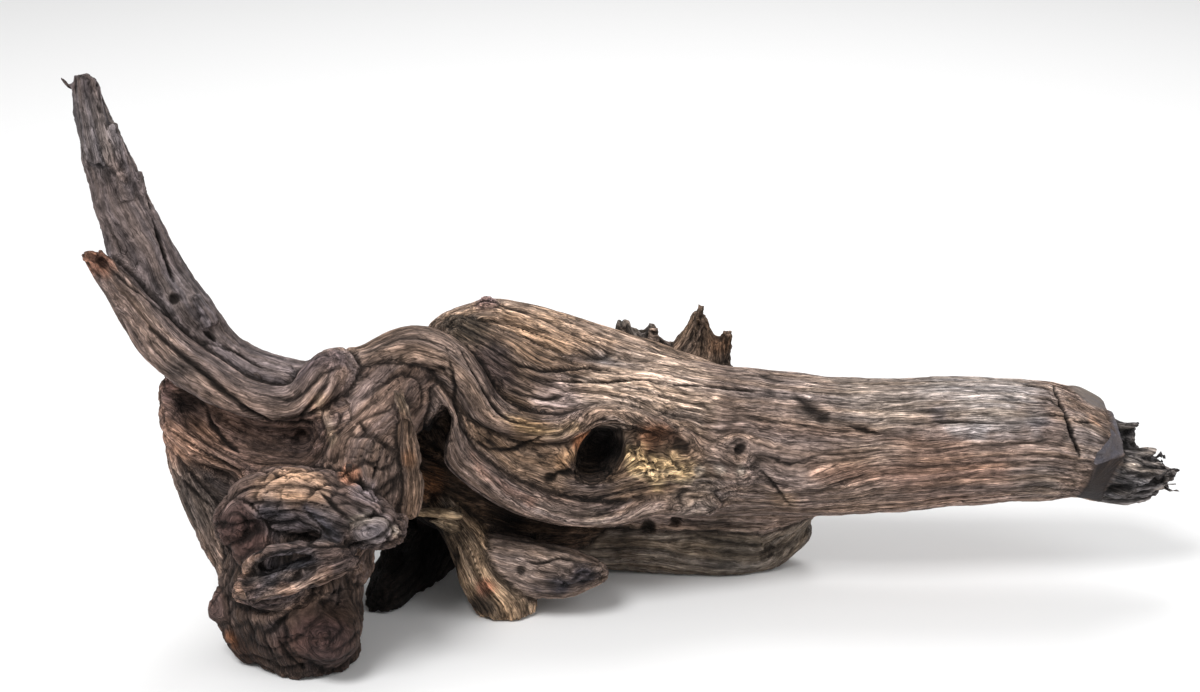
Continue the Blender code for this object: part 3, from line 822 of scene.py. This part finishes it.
pull = 9 * lumps(spots * (0, 1, 1), 11, 5.5) + 3 * lumps(spots * (0, 1, 1), 4, 2.5)
carved[:, 0] += MM * stub_share * np.clip(past_edge / 45, 0, 1) * pull
carved[:, 2] = np.maximum(carved[:, 2], 0)
skin.vertices.foreach_set("co", carved.ravel())
skin.update()
print("carved from", round(relief.min(), 1), "to", round(relief.max(), 1), "mm")

# %% [markdown]
# ## Fewer triangles
# The even skin has far more triangles than a library part should carry. Decimate removes the ones
# that matter least, so flat places get large ones and the furrows keep small ones.

# %% Thin the skin
TRIANGLES = 196_000

dense = KDTree(len(carved))
for index, place in enumerate(carved.tolist()):
    dense.insert(place, index)
dense.balance()
thin = wood.modifiers.new("thin", "DECIMATE")
thin.ratio = TRIANGLES / sum(len(face.vertices) - 2 for face in skin.polygons)
skin = settle(wood)
for face in skin.polygons:
    face.use_smooth = True
kept = vertex_array(skin, "co")
source = np.array([dense.find(place)[1] for place in kept.tolist()])
print("kept", sum(len(face.vertices) - 2 for face in skin.polygons), "triangles")

# %% [markdown]
# ## Colour
# Weathered wood has no one colour. Sun bleaches what faces up, and fresh breaks show orange or
# yellow heartwood. So each limb's own colour is overlaid with stains: soft round patches with
# wavering edges, which sink into the surface. Some patches are painted light, not stain: the
# near-black ones in the hollows under the trunk, and a few dark ones under the strand and in the
# valley, are painted shade, and a few pale ones are painted highlights.

# %% Stains, painted shade and painted highlights: middle and radius in mm, colour, strength
STAINS_SHADE_AND_HIGHLIGHTS = (
    ((-427, -27, 302), 13, "#95644b", 0.65), ((-430, 15, 395), 30, "#716b6a", 0.6),
    # painted shade: (-360, -50, 228) and (-318, -62, 176) are painted shadow under the strand, (-362,
    # -36, 188) the ear's hollow
    ((-360, -10, 275), 25, "#655f60", 0.5), ((-360, -50, 228), 14, "#453f3e", 0.8),
    ((-320, -58, 205), 20, "#7d6a60", 0.4), ((-368, -45, 168), 26, "#b08c79", 0.8),
    ((-350, -52, 156), 24, "#92725f", 0.7), ((-350, -64, 119), 36, "#524b47", 0.8),
    ((-290, -75, 160), 24, "#67554c", 0.6), ((-318, -62, 176), 20, "#594b48", 0.7),
    ((-362, -36, 188), 17, "#2c2526", 0.9), ((-380, -35, 200), 12, "#6a5254", 0.6),
    ((-245, -34, 233), 20, "#74615e", 0.7), ((-264, -39, 222), 18, "#453c3e", 0.7),
    ((-190, -40, 215), 30, "#62524a", 0.6), ((-225, -62, 202), 26, "#9c857a", 0.75),
    ((-252, -58, 197), 9, "#b8957f", 0.7), ((-200, -85, 155), 25, "#64564e", 0.5),
    ((-213, -116, 150), 13, "#807476", 0.8), ((-227, -106, 158), 8, "#c08a6e", 0.85),
    ((-184, -85, 162), 7, "#8f6648", 0.5), ((-186, -72, 205), 10, "#8d7a67", 0.6),
    ((-272, -125, 156), 18, "#b29178", 0.9), ((-290, -123, 153), 13, "#a88a74", 0.8),
    ((-250, -129, 157), 12, "#a68872", 0.8), ((-310, -121, 116), 26, "#4b3732", 0.9),
    ((-282, -130, 132), 18, "#655e60", 0.7), ((-262, -140, 128), 16, "#74696a", 0.6),
    ((-245, -140, 130), 18, "#5d5553", 0.6),
    ((-208, -144, 128), 17, "#857b7a", 0.8), ((-280, -149, 94), 19, "#55545a", 0.7),
    ((-258, -153, 102), 16, "#4b4c53", 0.7), ((-270, -152, 112), 13, "#3c3d43", 0.7),
    ((-299, -152, 100), 9, "#84756a", 0.8), ((-273, -163, 87), 9, "#80614f", 0.8),
    ((-245, -164, 101), 9, "#6e5648", 0.7), ((-238, -140, 75), 22, "#493f3d", 0.6),
    ((-250, -155, 40), 30, "#43302c", 0.85), ((-240, -140, 18), 26, "#342a28", 0.8),
    ((-285, -145, 58), 16, "#2b2628", 0.7), ((-338, -111, 50), 16, "#634e48", 0.7),
    ((-316, -123, 13), 24, "#3b2a22", 0.8), ((-326, -120, 24), 8, "#85583c", 0.6),
    # painted highlights: (-130, -40, 140) and (-36, -40, 94) on the ropes
    ((-130, -40, 140), 14, "#a48c7f", 0.8), ((-36, -40, 94), 13, "#a3917f", 0.7),
    # painted shade: (-124, 8, 201) and (-118, 14, 216) darken the valley under the crest
    ((-68, -42, 98), 18, "#65534a", 0.6), ((-124, 8, 201), 24, "#3b302d", 0.9),
    ((-118, 14, 216), 14, "#453a36", 0.85), ((-145, 37, 231), 22, "#443b31", 0.85),
    ((-129, 66, 244), 12, "#a08480", 0.9), ((-85, 55, 220), 32, "#a28873", 0.6),
    ((-95, 32, 206), 15, "#9a7f69", 0.5), ((-92, -24, 165), 18, "#7a624a", 0.7),
    ((-68, 0, 178), 22, "#a4918a", 0.5), ((-18, 20, 178), 34, "#c2ab99", 0.85),
    ((22, 32, 182), 36, "#c2ab99", 0.75),
    ((-34, 46, 202), 14, "#877e79", 0.8), ((-50, -13, 149), 9, "#ad7350", 0.9),
    ((-62, -20, 135), 10, "#86684c", 0.6), ((-58, -18, 124), 9, "#2b221e", 0.8),
    ((-46, -18, 106), 22, "#4b413d", 0.8),
    ((-14, -15, 143), 8, "#4c4642", 0.6), ((8, -10, 152), 14, "#8a624b", 0.8),
    ((22, -8, 148), 9, "#4a362c", 0.8),
    # painted highlight: (44, -13, 122), (61, -9, 121) and (79, -4, 118) run along a raised lip
    ((33, -6, 140), 6, "#33251e", 0.7), ((44, -13, 122), 5, "#cfc4b4", 0.5),
    ((61, -9, 121), 5, "#cfc4b4", 0.4), ((79, -4, 118), 5, "#c9beae", 0.4),
    ((45, -12, 100), 26, "#807369", 0.65), ((83, 10, 87), 24, "#75655a", 0.6),
    ((114, 12, 84), 12, "#a3866a", 0.5), ((110, 60, 178), 44, "#93837a", 0.6),
    ((200, 50, 174), 60, "#9b8f85", 0.65), ((280, 50, 172), 50, "#b7ada6", 0.75),
    ((120, 5, 138), 34, "#89776e", 0.5), ((240, 3, 112), 42, "#8f7364", 0.7),
    ((170, 5, 106), 30, "#7f6959", 0.6), ((292, 5, 110), 30, "#967d70", 0.6),
    # painted highlight: (270, 12, 148) and (252, 13, 149), a pale band below the crack
    ((238, 20, 159), 9, "#5b5659", 0.7), ((270, 12, 148), 11, "#b0a8a4", 0.5),
    ((252, 13, 149), 8, "#aaa29c", 0.5), ((322, 26, 152), 13, "#6d6b70", 0.5),
    ((320, 5, 100), 24, "#766c64", 0.6), ((360, 22, 138), 18, "#a09086", 0.7),
    ((372, 36, 149), 7, "#cb9f80", 0.7), ((-171, -20, 113), 16, "#855b3d", 0.85),
    # painted shade: the near-black patches from (-178, -4, 62) to (-133, -38, 14) fill the hollow under
    # the trunk
    ((-157, -20, 96), 9, "#a49484", 0.8), ((-178, -4, 62), 44, "#0a0807", 0.95),
    ((-205, 0, 22), 40, "#120e0c", 0.9), ((-160, 20, 30), 40, "#0f0c0a", 0.9),
    ((-62, 2, 70), 26, "#0d0a09", 0.9),
    ((-105, 0, 76), 20, "#0f0b0a", 0.85), ((-28, 10, 66), 18, "#120e0c", 0.85),
    ((-129, -42, 31), 9, "#9a5b44", 0.65), ((-133, -38, 14), 14, "#181514", 0.9),
    ((-68, -45, 34), 14, "#2d2c31", 0.9), ((-48, -40, 40), 12, "#34333a", 0.9),
    ((-86, -47, 26), 9, "#282830", 0.85), ((-68, -25, 60), 16, "#796b63", 0.6),
    ((-104, -38, 66), 9, "#9c918a", 0.5), ((65, 41, 42), 30, "#42392e", 0.5),
    ((-12, 35, 36), 20, "#40362e", 0.7), ((80, 45, 20), 24, "#615a52", 0.6),
    # painted shade: (-34, 6, 135) and (-176, -22, 160) are near-black patches in deep hollows
    ((66, 127, 179), 10, "#785840", 0.7), ((-34, 6, 135), 22, "#0e0c0e", 0.95),
    ((-176, -22, 160), 17, "#0c0a09", 0.95),
)
print(len(STAINS_SHADE_AND_HIGHLIGHTS), "stains")

# %% Streaks that run along the wood, in mm
STREAKS = (
    # half width, colour, strength, path
    (9, "#ab8b70", 0.60, ((-112, 58, 238), (-90, 50, 222), (-60, 52, 212), (-20, 55, 204))),
    (5, "#3f332b", 0.70, ((-126, 30, 222), (-104, 30, 208), (-70, 34, 204), (-30, 40, 200))),
    (6, "#3a2f2a", 0.60, ((-138, 0, 222), (-124, 0, 200), (-104, 6, 190), (-70, 8, 186))),
    (6, "#927a58", 0.50, ((-112, -22, 178), (-92, -24, 164), (-70, -24, 158), (-50, -20, 164))),
    (5, "#b08a78", 0.60, ((-140, -34, 150), (-128, -42, 136), (-110, -42, 122), (-84, -42, 106))),
    (8, "#a8958a", 0.55, ((-90, -44, 104), (-50, -40, 92), (-14, -34, 86), (20, -22, 90))),
    (6, "#4a3f38", 0.60, ((-96, -30, 124), (-66, -30, 112), (-30, -28, 104), (6, -22, 106))),
    (7, "#a89080", 0.60, ((-202, -30, 222), (-180, -26, 228), (-160, -26, 224), (-150, -30, 200))),
    (7, "#6d5240", 0.55, ((60, 6, 154), (110, 8, 150), (170, 8, 146), (230, 8, 140))),
    (9, "#9b7763", 0.55, ((130, 0, 112), (180, -1, 112), (240, -1, 112), (300, 2, 116))),
    (7, "#54483f", 0.50, ((150, 6, 86), (210, 6, 88), (270, 6, 92), (340, 14, 96))),
    (6, "#4b443f", 0.55, ((120, 22, 160), (146, 20, 156), (170, 18, 152))),
    (5, "#5c4f45", 0.60, ((335, 60, 166), (338, 32, 160), (344, 14, 145), (352, 10, 128),
                          (350, 14, 100), (346, 20, 84))),
    (6, "#a07c66", 0.60, ((-378, -38, 168), (-362, -50, 154), (-340, -58, 148), (-312, -66, 140))),
    (5, "#3a302c", 0.60, ((-372, -42, 150), (-352, -56, 138), (-334, -62, 130))),
    (6, "#8a7568", 0.55, ((-410, -30, 286), (-390, -38, 268), (-366, -46, 246), (-340, -54, 226))),
    (5, "#9b8272", 0.60, ((-312, -146, 75), (-287, -158, 83), (-265, -164, 90), (-240, -164, 104))),
    (4, "#84695a", 0.60, ((-316, -129, 61), (-310, -145, 84), (-302, -150, 103), (-290, -156, 117))),
    (5, "#7a6558", 0.50, ((-303, -140, 54), (-276, -148, 64), (-248, -138, 74), (-232, -122, 78))),
    (7, "#222127", 0.85, ((-98, -52, 18), (-80, -50, 22), (-60, -46, 28), (-42, -40, 34),
                          (-30, -34, 38))),
    (4, "#9a8a80", 0.60, ((-96, -36, 62), (-76, -34, 60), (-54, -32, 58), (-36, -32, 54))),
    (4, "#b8a99b", 0.60, ((-226, -136, 122), (-220, -142, 136), (-205, -140, 142),
                          (-192, -138, 134), (-189, -140, 120))),
    (4, "#7d6a5e", 0.55, ((-296, -150, 88), (-280, -153, 94), (-262, -156, 98), (-246, -158, 106))),
    (8, "#2c2e35", 0.55, ((-298, -128, 140), (-284, -134, 132), (-262, -142, 128), (-240, -146, 122))),
    (5, "#30323a", 0.70, ((-262, -136, 148), (-252, -140, 138), (-240, -144, 130), (-232, -148, 118))),
    (7, "#241d1b", 0.70, ((-316, -126, 36), (-298, -138, 34), (-284, -146, 20), (-262, -146, 4))),
    (6, "#5d4a40", 0.50, ((-282, -146, 52), (-262, -146, 66), (-240, -140, 60), (-228, -130, 44))),
    (4, "#1b1c20", 0.65, ((-306, -141, 68), (-290, -150, 72), (-262, -156, 80), (-240, -152, 90))),
    (5, "#94826f", 0.60, ((-256, -57, 206), (-252, -60, 192), (-246, -68, 180), (-240, -82, 172))),
)
print(len(STREAKS), "streaks")

# %% Mix every vertex's colour
TORN_COLOUR = "#d8bb90"
# the third, near-black colour is painted shade on the lowest cut, which faces a little down
SAW_COLOURS_AND_SHADE = ("#6d6662", "#5d5a5f", "#0f0e12")
STUB_COLOUR, STUB_GAPS, STUB_RIDGES = "#615c5a", "#1b1716", "#b9aca1"


def mixed(rows, colour, share):
    """The rows' colours with this much of one more colour in them."""
    return rows + (np.array(linear(colour)) - rows) * share[:, None]


smudge = lumps(kept, 13, 21.0)
paint = tint[source]
for middle, radius, colour, strength in STAINS_SHADE_AND_HIGHLIGHTS:
    far = np.linalg.norm(kept - np.array(middle) * MM, axis=1) / (radius * MM)
    share = np.clip(1.5 - far * (1 + 0.35 * smudge) * 1.1, 0, 1)
    paint = mixed(paint, colour, strength * share * share * (3 - 2 * share))
paint = mixed(paint, TORN_COLOUR, torn[source] * np.clip(1.0 + 1.5 * tufts[source], 0, 1))
thin_normals = vertex_array(skin, "normal")
for width, colour, strength, path in STREAKS:
    near, far, where = off_path(path)
    share = np.clip(1.4 - np.abs(far + 2.5 * waver[near]) / (width * MM), 0, 1)
    full = np.zeros(len(spots))
    full[near] = share * strength * np.clip(5 * np.sin(np.pi * where), 0, 1)
    paint = mixed(paint, colour, full[source])
for number, colour in enumerate(SAW_COLOURS_AND_SHADE):
    paint = mixed(paint, colour, 0.92 * (sawn * (cut_of == number))[source])
stubby = stub_share[source]
paint = mixed(paint, STUB_COLOUR, stubby)
paint = mixed(paint, STUB_GAPS, stubby * np.clip(-1.6 * stub_fibres[source], 0, 1) * 0.9)
paint = mixed(paint, STUB_RIDGES, stubby * np.clip(1.5 * stub_fibres[source] - 0.35, 0, 1) * 0.7)
print("mean colour", [round(float(v), 3) for v in paint.mean(axis=0)])

# %% [markdown]
# ## Painted shade in sheltered places
# Sheltered places are painted darker than open ones: this is painted shade.
# A ray from each vertex in a few fixed directions says how open it is: the share that gets away.

# %% How open each vertex is
RAYS = 10
RAY_REACH = 55 * MM

thin_tree = BVHTree.FromPolygons(kept.tolist(), [tuple(face.vertices) for face in skin.polygons])
golden = math.pi * (3 - math.sqrt(5))
fan = [
    Vector((math.sqrt(1 - h * h) * math.cos(golden * k), math.sqrt(1 - h * h) * math.sin(golden * k), h))
    for k, h in enumerate((np.arange(RAYS) + 0.5) / RAYS * 0.85 + 0.12)
]
shade_openness = np.zeros(len(kept))
for index, (place, normal) in enumerate(zip(kept.tolist(), thin_normals.tolist())):
    lean = Vector(normal).to_track_quat("Z", "Y")
    start = Vector(place) + Vector(normal) * 1.2 * MM
    free = sum(thin_tree.ray_cast(start, lean @ ray, RAY_REACH)[0] is None for ray in fan)
    shade_openness[index] = free / RAYS
print("mean openness", round(shade_openness.mean(), 2))

# %% [markdown]
# A material can only read what the mesh carries, so every value that was worked out for a vertex
# is stored there by name: its place in the grain, its colour, its marks, and how far it stands
# proud of the wood round it.

# %% Store what the finish reads
RIDGE_ROUNDS = 12


def keep_values(name, kind, values):
    """Stores one value for each vertex, where a material can read it by name."""
    attribute = skin.attributes.new(name, kind, "POINT")
    key = {"FLOAT": "value", "FLOAT_VECTOR": "vector", "FLOAT_COLOR": "color"}[kind]
    attribute.data.foreach_set(key, np.ascontiguousarray(values, dtype=np.float32).ravel())


# the finish paints this lighter on ridges and darker in hollows: partly bleaching and dirt, partly
# painted highlight and shade
local = relief - blur(relief[:, None], RIDGE_ROUNDS)[:, 0]
keep_values("grain_place", "FLOAT_VECTOR", grain[source])
keep_values("wood_colour", "FLOAT_COLOR", np.c_[paint, np.ones(len(kept))])
keep_values("marks", "FLOAT_VECTOR", np.c_[dark[source], cracked[source], sawn[source]])
keep_values("ridge_highlight_and_shade", "FLOAT", np.clip(local[source] * 0.5 + 0.5, 0, 1))
# how open each vertex is, which the finish uses to paint shade in sheltered places
keep_values("painted_shade_openness", "FLOAT", shade_openness)
keep_values("line_share", "FLOAT", line_share[source])
print("stored:", [attribute.name for attribute in skin.attributes])

# %% [markdown]
# ## The finish: sun-bleached driftwood
# Bare wood with no varnish: a dull surface of loose fibres, IOR about 1.5 like all wood. Its look
# is in its lines. The finest are single bundles of fibre about 1 mm across; over them lie rings
# 3 to 4 mm apart, short chips where fibres have broken, and hairline checks that dried open. All
# of these are the same noise, read at the grain's own place and squeezed to a real size in mm.

# %% Functions that build the finish
finish = bpy.data.materials.new("sun_bleached_driftwood")
finish.use_nodes = True
nodes = finish.node_tree


def add_node(kind, inputs=None, **settings):
    """Adds a node, sets its settings, and links or sets its inputs."""
    node = nodes.nodes.new(kind)
    for name, value in settings.items():
        setattr(node, name, value)
    for name, value in (inputs or {}).items():
        if isinstance(value, bpy.types.NodeSocket):
            nodes.links.new(value, node.inputs[name])
        else:
            node.inputs[name].default_value = value
    return node.outputs


def noise_at(place, width, squeeze, detail, roughness=0.6):
    """Noise whose lumps are this wide, and 1 / squeeze times as long along the grain."""
    scaled = add_node("ShaderNodeVectorMath", {0: place, 1: (1, 1, squeeze)}, operation="MULTIPLY")[0]
    return add_node("ShaderNodeTexNoise", {"Vector": scaled, "Scale": 1 / width, "Detail": detail,
                                           "Roughness": roughness})["Fac"]


def spread(value, from_low, from_high, to_low, to_high):
    """The value stretched from one range to another, and held there."""
    return add_node("ShaderNodeMapRange", {"Value": value, "From Min": from_low,
                                           "From Max": from_high, "To Min": to_low,
                                           "To Max": to_high})["Result"]


def sums(operation, first_value, second_value):
    return add_node("ShaderNodeMath", {0: first_value, 1: second_value}, operation=operation)[0]


def blend_colour(kind, share, under, over):
    return add_node("ShaderNodeMix", {0: share, 6: under, 7: over}, data_type="RGBA",
                    blend_type=kind)[2]


def thin_lines(values, half_width):
    """1 on the lines where the noise crosses its middle value, and 0 this far away from them."""
    off_middle = sums("ABSOLUTE", sums("SUBTRACT", values, 0.5), 0.0)
    return spread(off_middle, 0.0, half_width, 1.0, 0.0)


def times_all(value, factors):
    """The value times each factor, which is first stretched from one range to another."""
    for factor, *ranges in factors:
        value = sums("MULTIPLY", value, spread(factor, *ranges))
    return value


def add_all(operation, value, parts):
    """The value with each part times its weight added or taken away."""
    for part, weight in parts:
        value = sums(operation, value, sums("MULTIPLY", part, weight))
    return value


print("started", finish.name)

# %% The patterns, each with its real width
FIBRE_WIDTH = 1.2 * MM
LINE_WIDTH = 3.8 * MM
THREAD_WIDTH = 1.9 * MM
CHIP_WIDTH = 2.2 * MM
CHECK_WIDTH = 9 * MM
STREAK_WIDTH = 11 * MM
PATCH_WIDTH = 40 * MM
MOTTLE_WIDTH = 13 * MM
DUST_WIDTH = 1.6 * MM
BLOCK_WIDTH = 8 * MM
SWAY_WIDTH = 22 * MM

grain_place = add_node("ShaderNodeAttribute", attribute_name="grain_place")["Vector"]
wood_colour = add_node("ShaderNodeAttribute", attribute_name="wood_colour")["Color"]
marks = add_node("ShaderNodeAttribute", attribute_name="marks")["Vector"]
ridge_highlight_and_shade = add_node("ShaderNodeAttribute", attribute_name="ridge_highlight_and_shade")["Fac"]
painted_shade_openness = add_node("ShaderNodeAttribute", attribute_name="painted_shade_openness")["Fac"]
line_strength = add_node("ShaderNodeAttribute", attribute_name="line_share")["Fac"]
here = add_node("ShaderNodeTexCoord")["Object"]
dark_mark, block_share, saw_share = add_node("ShaderNodeSeparateXYZ", {0: marks})[:]

wave = add_node("ShaderNodeTexNoise", {"Vector": here, "Scale": 1 / SWAY_WIDTH, "Detail": 1.0})["Color"]
sway = add_node("ShaderNodeVectorMath", {0: wave, 1: (3 * MM, 3 * MM, 0)}, operation="MULTIPLY")[0]
line_place = add_node("ShaderNodeVectorMath", {0: grain_place, 1: sway}, operation="ADD")[0]

fine_fibres = noise_at(line_place, FIBRE_WIDTH, 0.06, 4.0, 0.75)
growth_lines = noise_at(line_place, LINE_WIDTH, 0.045, 3.0, 0.55)
threads = noise_at(line_place, THREAD_WIDTH, 0.07, 2.0, 0.5)
chips = noise_at(line_place, CHIP_WIDTH, 0.15, 3.0, 0.7)
checks = noise_at(line_place, CHECK_WIDTH, 0.09, 2.0)
streaks = noise_at(line_place, STREAK_WIDTH, 0.06, 2.0)
patches = noise_at(here, PATCH_WIDTH, 1.0, 3.0)
mottle = noise_at(here, MOTTLE_WIDTH, 1.0, 5.0, 0.68)
dust = noise_at(here, DUST_WIDTH, 1.0, 2.0)

growth_gap = thin_lines(growth_lines, 0.050)
thread_gap = thin_lines(threads, 0.070)
check_line = sums("MULTIPLY", thin_lines(checks, 0.022), spread(patches, 0.45, 0.60, 0.0, 1.0))

block_place = add_node("ShaderNodeVectorMath", {0: here, 1: sway}, operation="ADD")[0]
block_gap = add_node("ShaderNodeTexVoronoi", {"Vector": block_place, "Scale": 1 / BLOCK_WIDTH},
                     feature="DISTANCE_TO_EDGE")["Distance"]
block_line = sums("MULTIPLY", spread(block_gap, 0.0, 0.035, 1.0, 0.0), block_share)
block_line = sums("MULTIPLY", block_line, spread(patches, 0.50, 0.62, 0.0, 1.0))
print("the material has", len(nodes.nodes), "nodes so far")

# %% [markdown]
# The lines turn into colour by multiplying: a light fibre brightens the wood and a gap between
# fibres darkens it. Raised ridges are painted lighter and hollows darker, partly bleaching and
# dirt and partly painted highlight and painted shade, and sheltered places get painted shade.
# The same lines, added up as heights, drive a Bump node, so light catches each fibre. A saw
# leaves a closed, darker face, so all of this fades there.

# %% Turn the lines into colour
CONTRAST = 1.25
GAP_AND_SHADE_COLOUR = "#150f0c"

lines = sums("MULTIPLY", spread(fine_fibres, 0.30, 0.70, 0.60, 1.45),
             spread(chips, 0.30, 0.70, 0.58, 1.46))
lines = times_all(lines, (
    (growth_lines, 0.30, 0.70, 0.75, 1.30),
    (growth_gap, 0.0, 1.0, 1.10, 0.42),
    (thread_gap, 0.0, 1.0, 1.12, 0.55),
))
lines = add_node("ShaderNodeMix", {0: line_strength, 2: 0.95, 3: lines}, data_type="FLOAT")[0]
lines = times_all(lines, (
    (patches, 0.35, 0.65, 0.82, 1.18),
    (mottle, 0.30, 0.70, 0.72, 1.30),
    # ridges lighter and hollows darker: partly bleaching and dirt, partly painted highlight and shade
    (ridge_highlight_and_shade, 0.2, 0.8, 0.48, 1.40),
    # how open it is: sheltered places are painted darker, as painted shade
    (painted_shade_openness, 0.15, 0.95, 0.34, 1.08),
    (dust, 0.62, 0.74, 1.0, 1.30),
))
lines = sums("POWER", lines, CONTRAST)
plain = spread(saw_share, 0.0, 1.0, 0.0, 0.75)
calm = add_node("ShaderNodeMix", {0: plain, 2: lines, 3: 1.0}, data_type="FLOAT")[0]
grey = add_node("ShaderNodeCombineXYZ", {0: calm, 1: calm, 2: calm})[0]
lit = add_node("ShaderNodeVectorMath", {0: wood_colour, 1: grey}, operation="MULTIPLY")[0]
warmth = blend_colour("MIX", spread(streaks, 0.36, 0.64, 0.0, 1.0), (0.97, 1.0, 1.08, 1.0),
                      (1.06, 1.0, 0.94, 1.0))
warmed = add_node("ShaderNodeVectorMath", {0: lit, 1: warmth}, operation="MULTIPLY")[0]
# the gap colour darkens checks, block cracks and dark marks; some dark marks are painted shade: pits, a
# crease, a chip's shadow
gap_and_shade_share = sums("MAXIMUM", sums("MULTIPLY", check_line, 0.75), sums("MULTIPLY", block_line, 0.8))
gap_and_shade_share = sums("MAXIMUM", gap_and_shade_share, sums("MULTIPLY", dark_mark, 0.92))
coloured = blend_colour("MIX", gap_and_shade_share, warmed, (*linear(GAP_AND_SHADE_COLOUR), 1.0))
print("the finish has", len(nodes.nodes), "nodes so far")

# %% Turn the lines into roughness and bump, and hand the piece over
BUMP_HEIGHT = 1.8 * MM

heights = add_all("ADD", sums("MULTIPLY", fine_fibres, 0.5),
                  ((chips, 0.8), (growth_lines, 0.6), (mottle, 1.4)))
heights = add_all("SUBTRACT", heights, ((sums("ADD", growth_gap, thread_gap), 0.35),
                                        (sums("ADD", check_line, block_line), 0.5)))
heights = sums("MULTIPLY", heights, spread(saw_share, 0.0, 1.0, 1.0, 0.15))
bump = add_node("ShaderNodeBump", {"Height": heights, "Strength": 1.0, "Distance": BUMP_HEIGHT})[0]

surface = nodes.nodes["Principled BSDF"]
for name, value in (("IOR", 1.5), ("Metallic", 0.0), ("Specular IOR Level", 0.2)):
    surface.inputs[name].default_value = value
nodes.links.new(coloured, surface.inputs["Base Color"])
rough = sums("SUBTRACT", spread(fine_fibres, 0.3, 0.7, 0.95, 0.75), sums("MULTIPLY", saw_share, 0.3))
nodes.links.new(rough, surface.inputs["Roughness"])
nodes.links.new(bump, surface.inputs["Normal"])
skin.materials.clear()
skin.materials.append(finish)
skin.name = "driftwood_skin"
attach(wood, "root")
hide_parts("driftwood")
print("the finish has", len(nodes.nodes), "nodes")

# %% [markdown]
# ## Floor, light and camera
# A plain pale floor and three soft lights, as in a small studio: a broad one above and to the
# left, a weaker one from the right, and a pale surround that fills the shadows.

# %% The studio
FLOOR_HALF = 6.0
FLOOR_GREY = 0.86
SURROUND_STRENGTH = 0.50
LIGHTS = (
    # place, size and power
    ((-1.2, -1.5, 2.8), 1.4, 76),
    ((1.9, -1.2, 1.9), 1.8, 16),
    ((0.2, 1.7, 2.4), 1.6, 34),
)
AIM = Vector((-0.036, 0.0116, 0.22))

floor_shape = bmesh.new()
bmesh.ops.create_grid(floor_shape, x_segments=1, y_segments=1, size=FLOOR_HALF)
floor_mesh = bpy.data.meshes.new("floor")
floor_shape.to_mesh(floor_mesh)
floor_shape.free()
floor = bpy.data.objects.new("floor", floor_mesh)
bpy.context.scene.collection.objects.link(floor)
floor_paint = bpy.data.materials.new("pale_studio_floor")
floor_paint.use_nodes = True
floor_surface = floor_paint.node_tree.nodes["Principled BSDF"]
floor_surface.inputs["Base Color"].default_value = (FLOOR_GREY, FLOOR_GREY, FLOOR_GREY, 1)
floor_surface.inputs["Roughness"].default_value = 0.9
floor_mesh.materials.append(floor_paint)

world = bpy.data.worlds.new("pale_surround")
bpy.context.scene.world = world
world.use_nodes = True
surround = world.node_tree.nodes["Background"]
surround.inputs["Color"].default_value = (1, 1, 1, 1)
surround.inputs["Strength"].default_value = SURROUND_STRENGTH
for number, (place, size, power) in enumerate(LIGHTS):
    lamp = bpy.data.lights.new(f"soft_light_{number}", "AREA")
    lamp.shape = "DISK"
    lamp.size = size
    lamp.energy = power
    lamp_object = bpy.data.objects.new(lamp.name, lamp)
    bpy.context.scene.collection.objects.link(lamp_object)
    lamp_object.location = place
    lamp_object.rotation_euler = (AIM - Vector(place)).to_track_quat("-Z", "Y").to_euler()
bpy.context.scene.view_settings.view_transform = "Standard"
print("lights:", len(LIGHTS))

# %% The camera, a little above and in front
CAMERA_DISTANCE = 2.0
CAMERA_RAISED = math.radians(20)
CAMERA_LENS = 75

camera = bpy.data.objects.new("camera", bpy.data.cameras.new("camera"))
camera.data.lens = CAMERA_LENS
camera.data.sensor_width = 36
looks = Vector((0, math.cos(CAMERA_RAISED), -math.sin(CAMERA_RAISED)))
camera.location = AIM - looks * CAMERA_DISTANCE
camera.rotation_euler = looks.to_track_quat("-Z", "Y").to_euler()
bpy.context.scene.collection.objects.link(camera)
bpy.context.scene.camera = camera
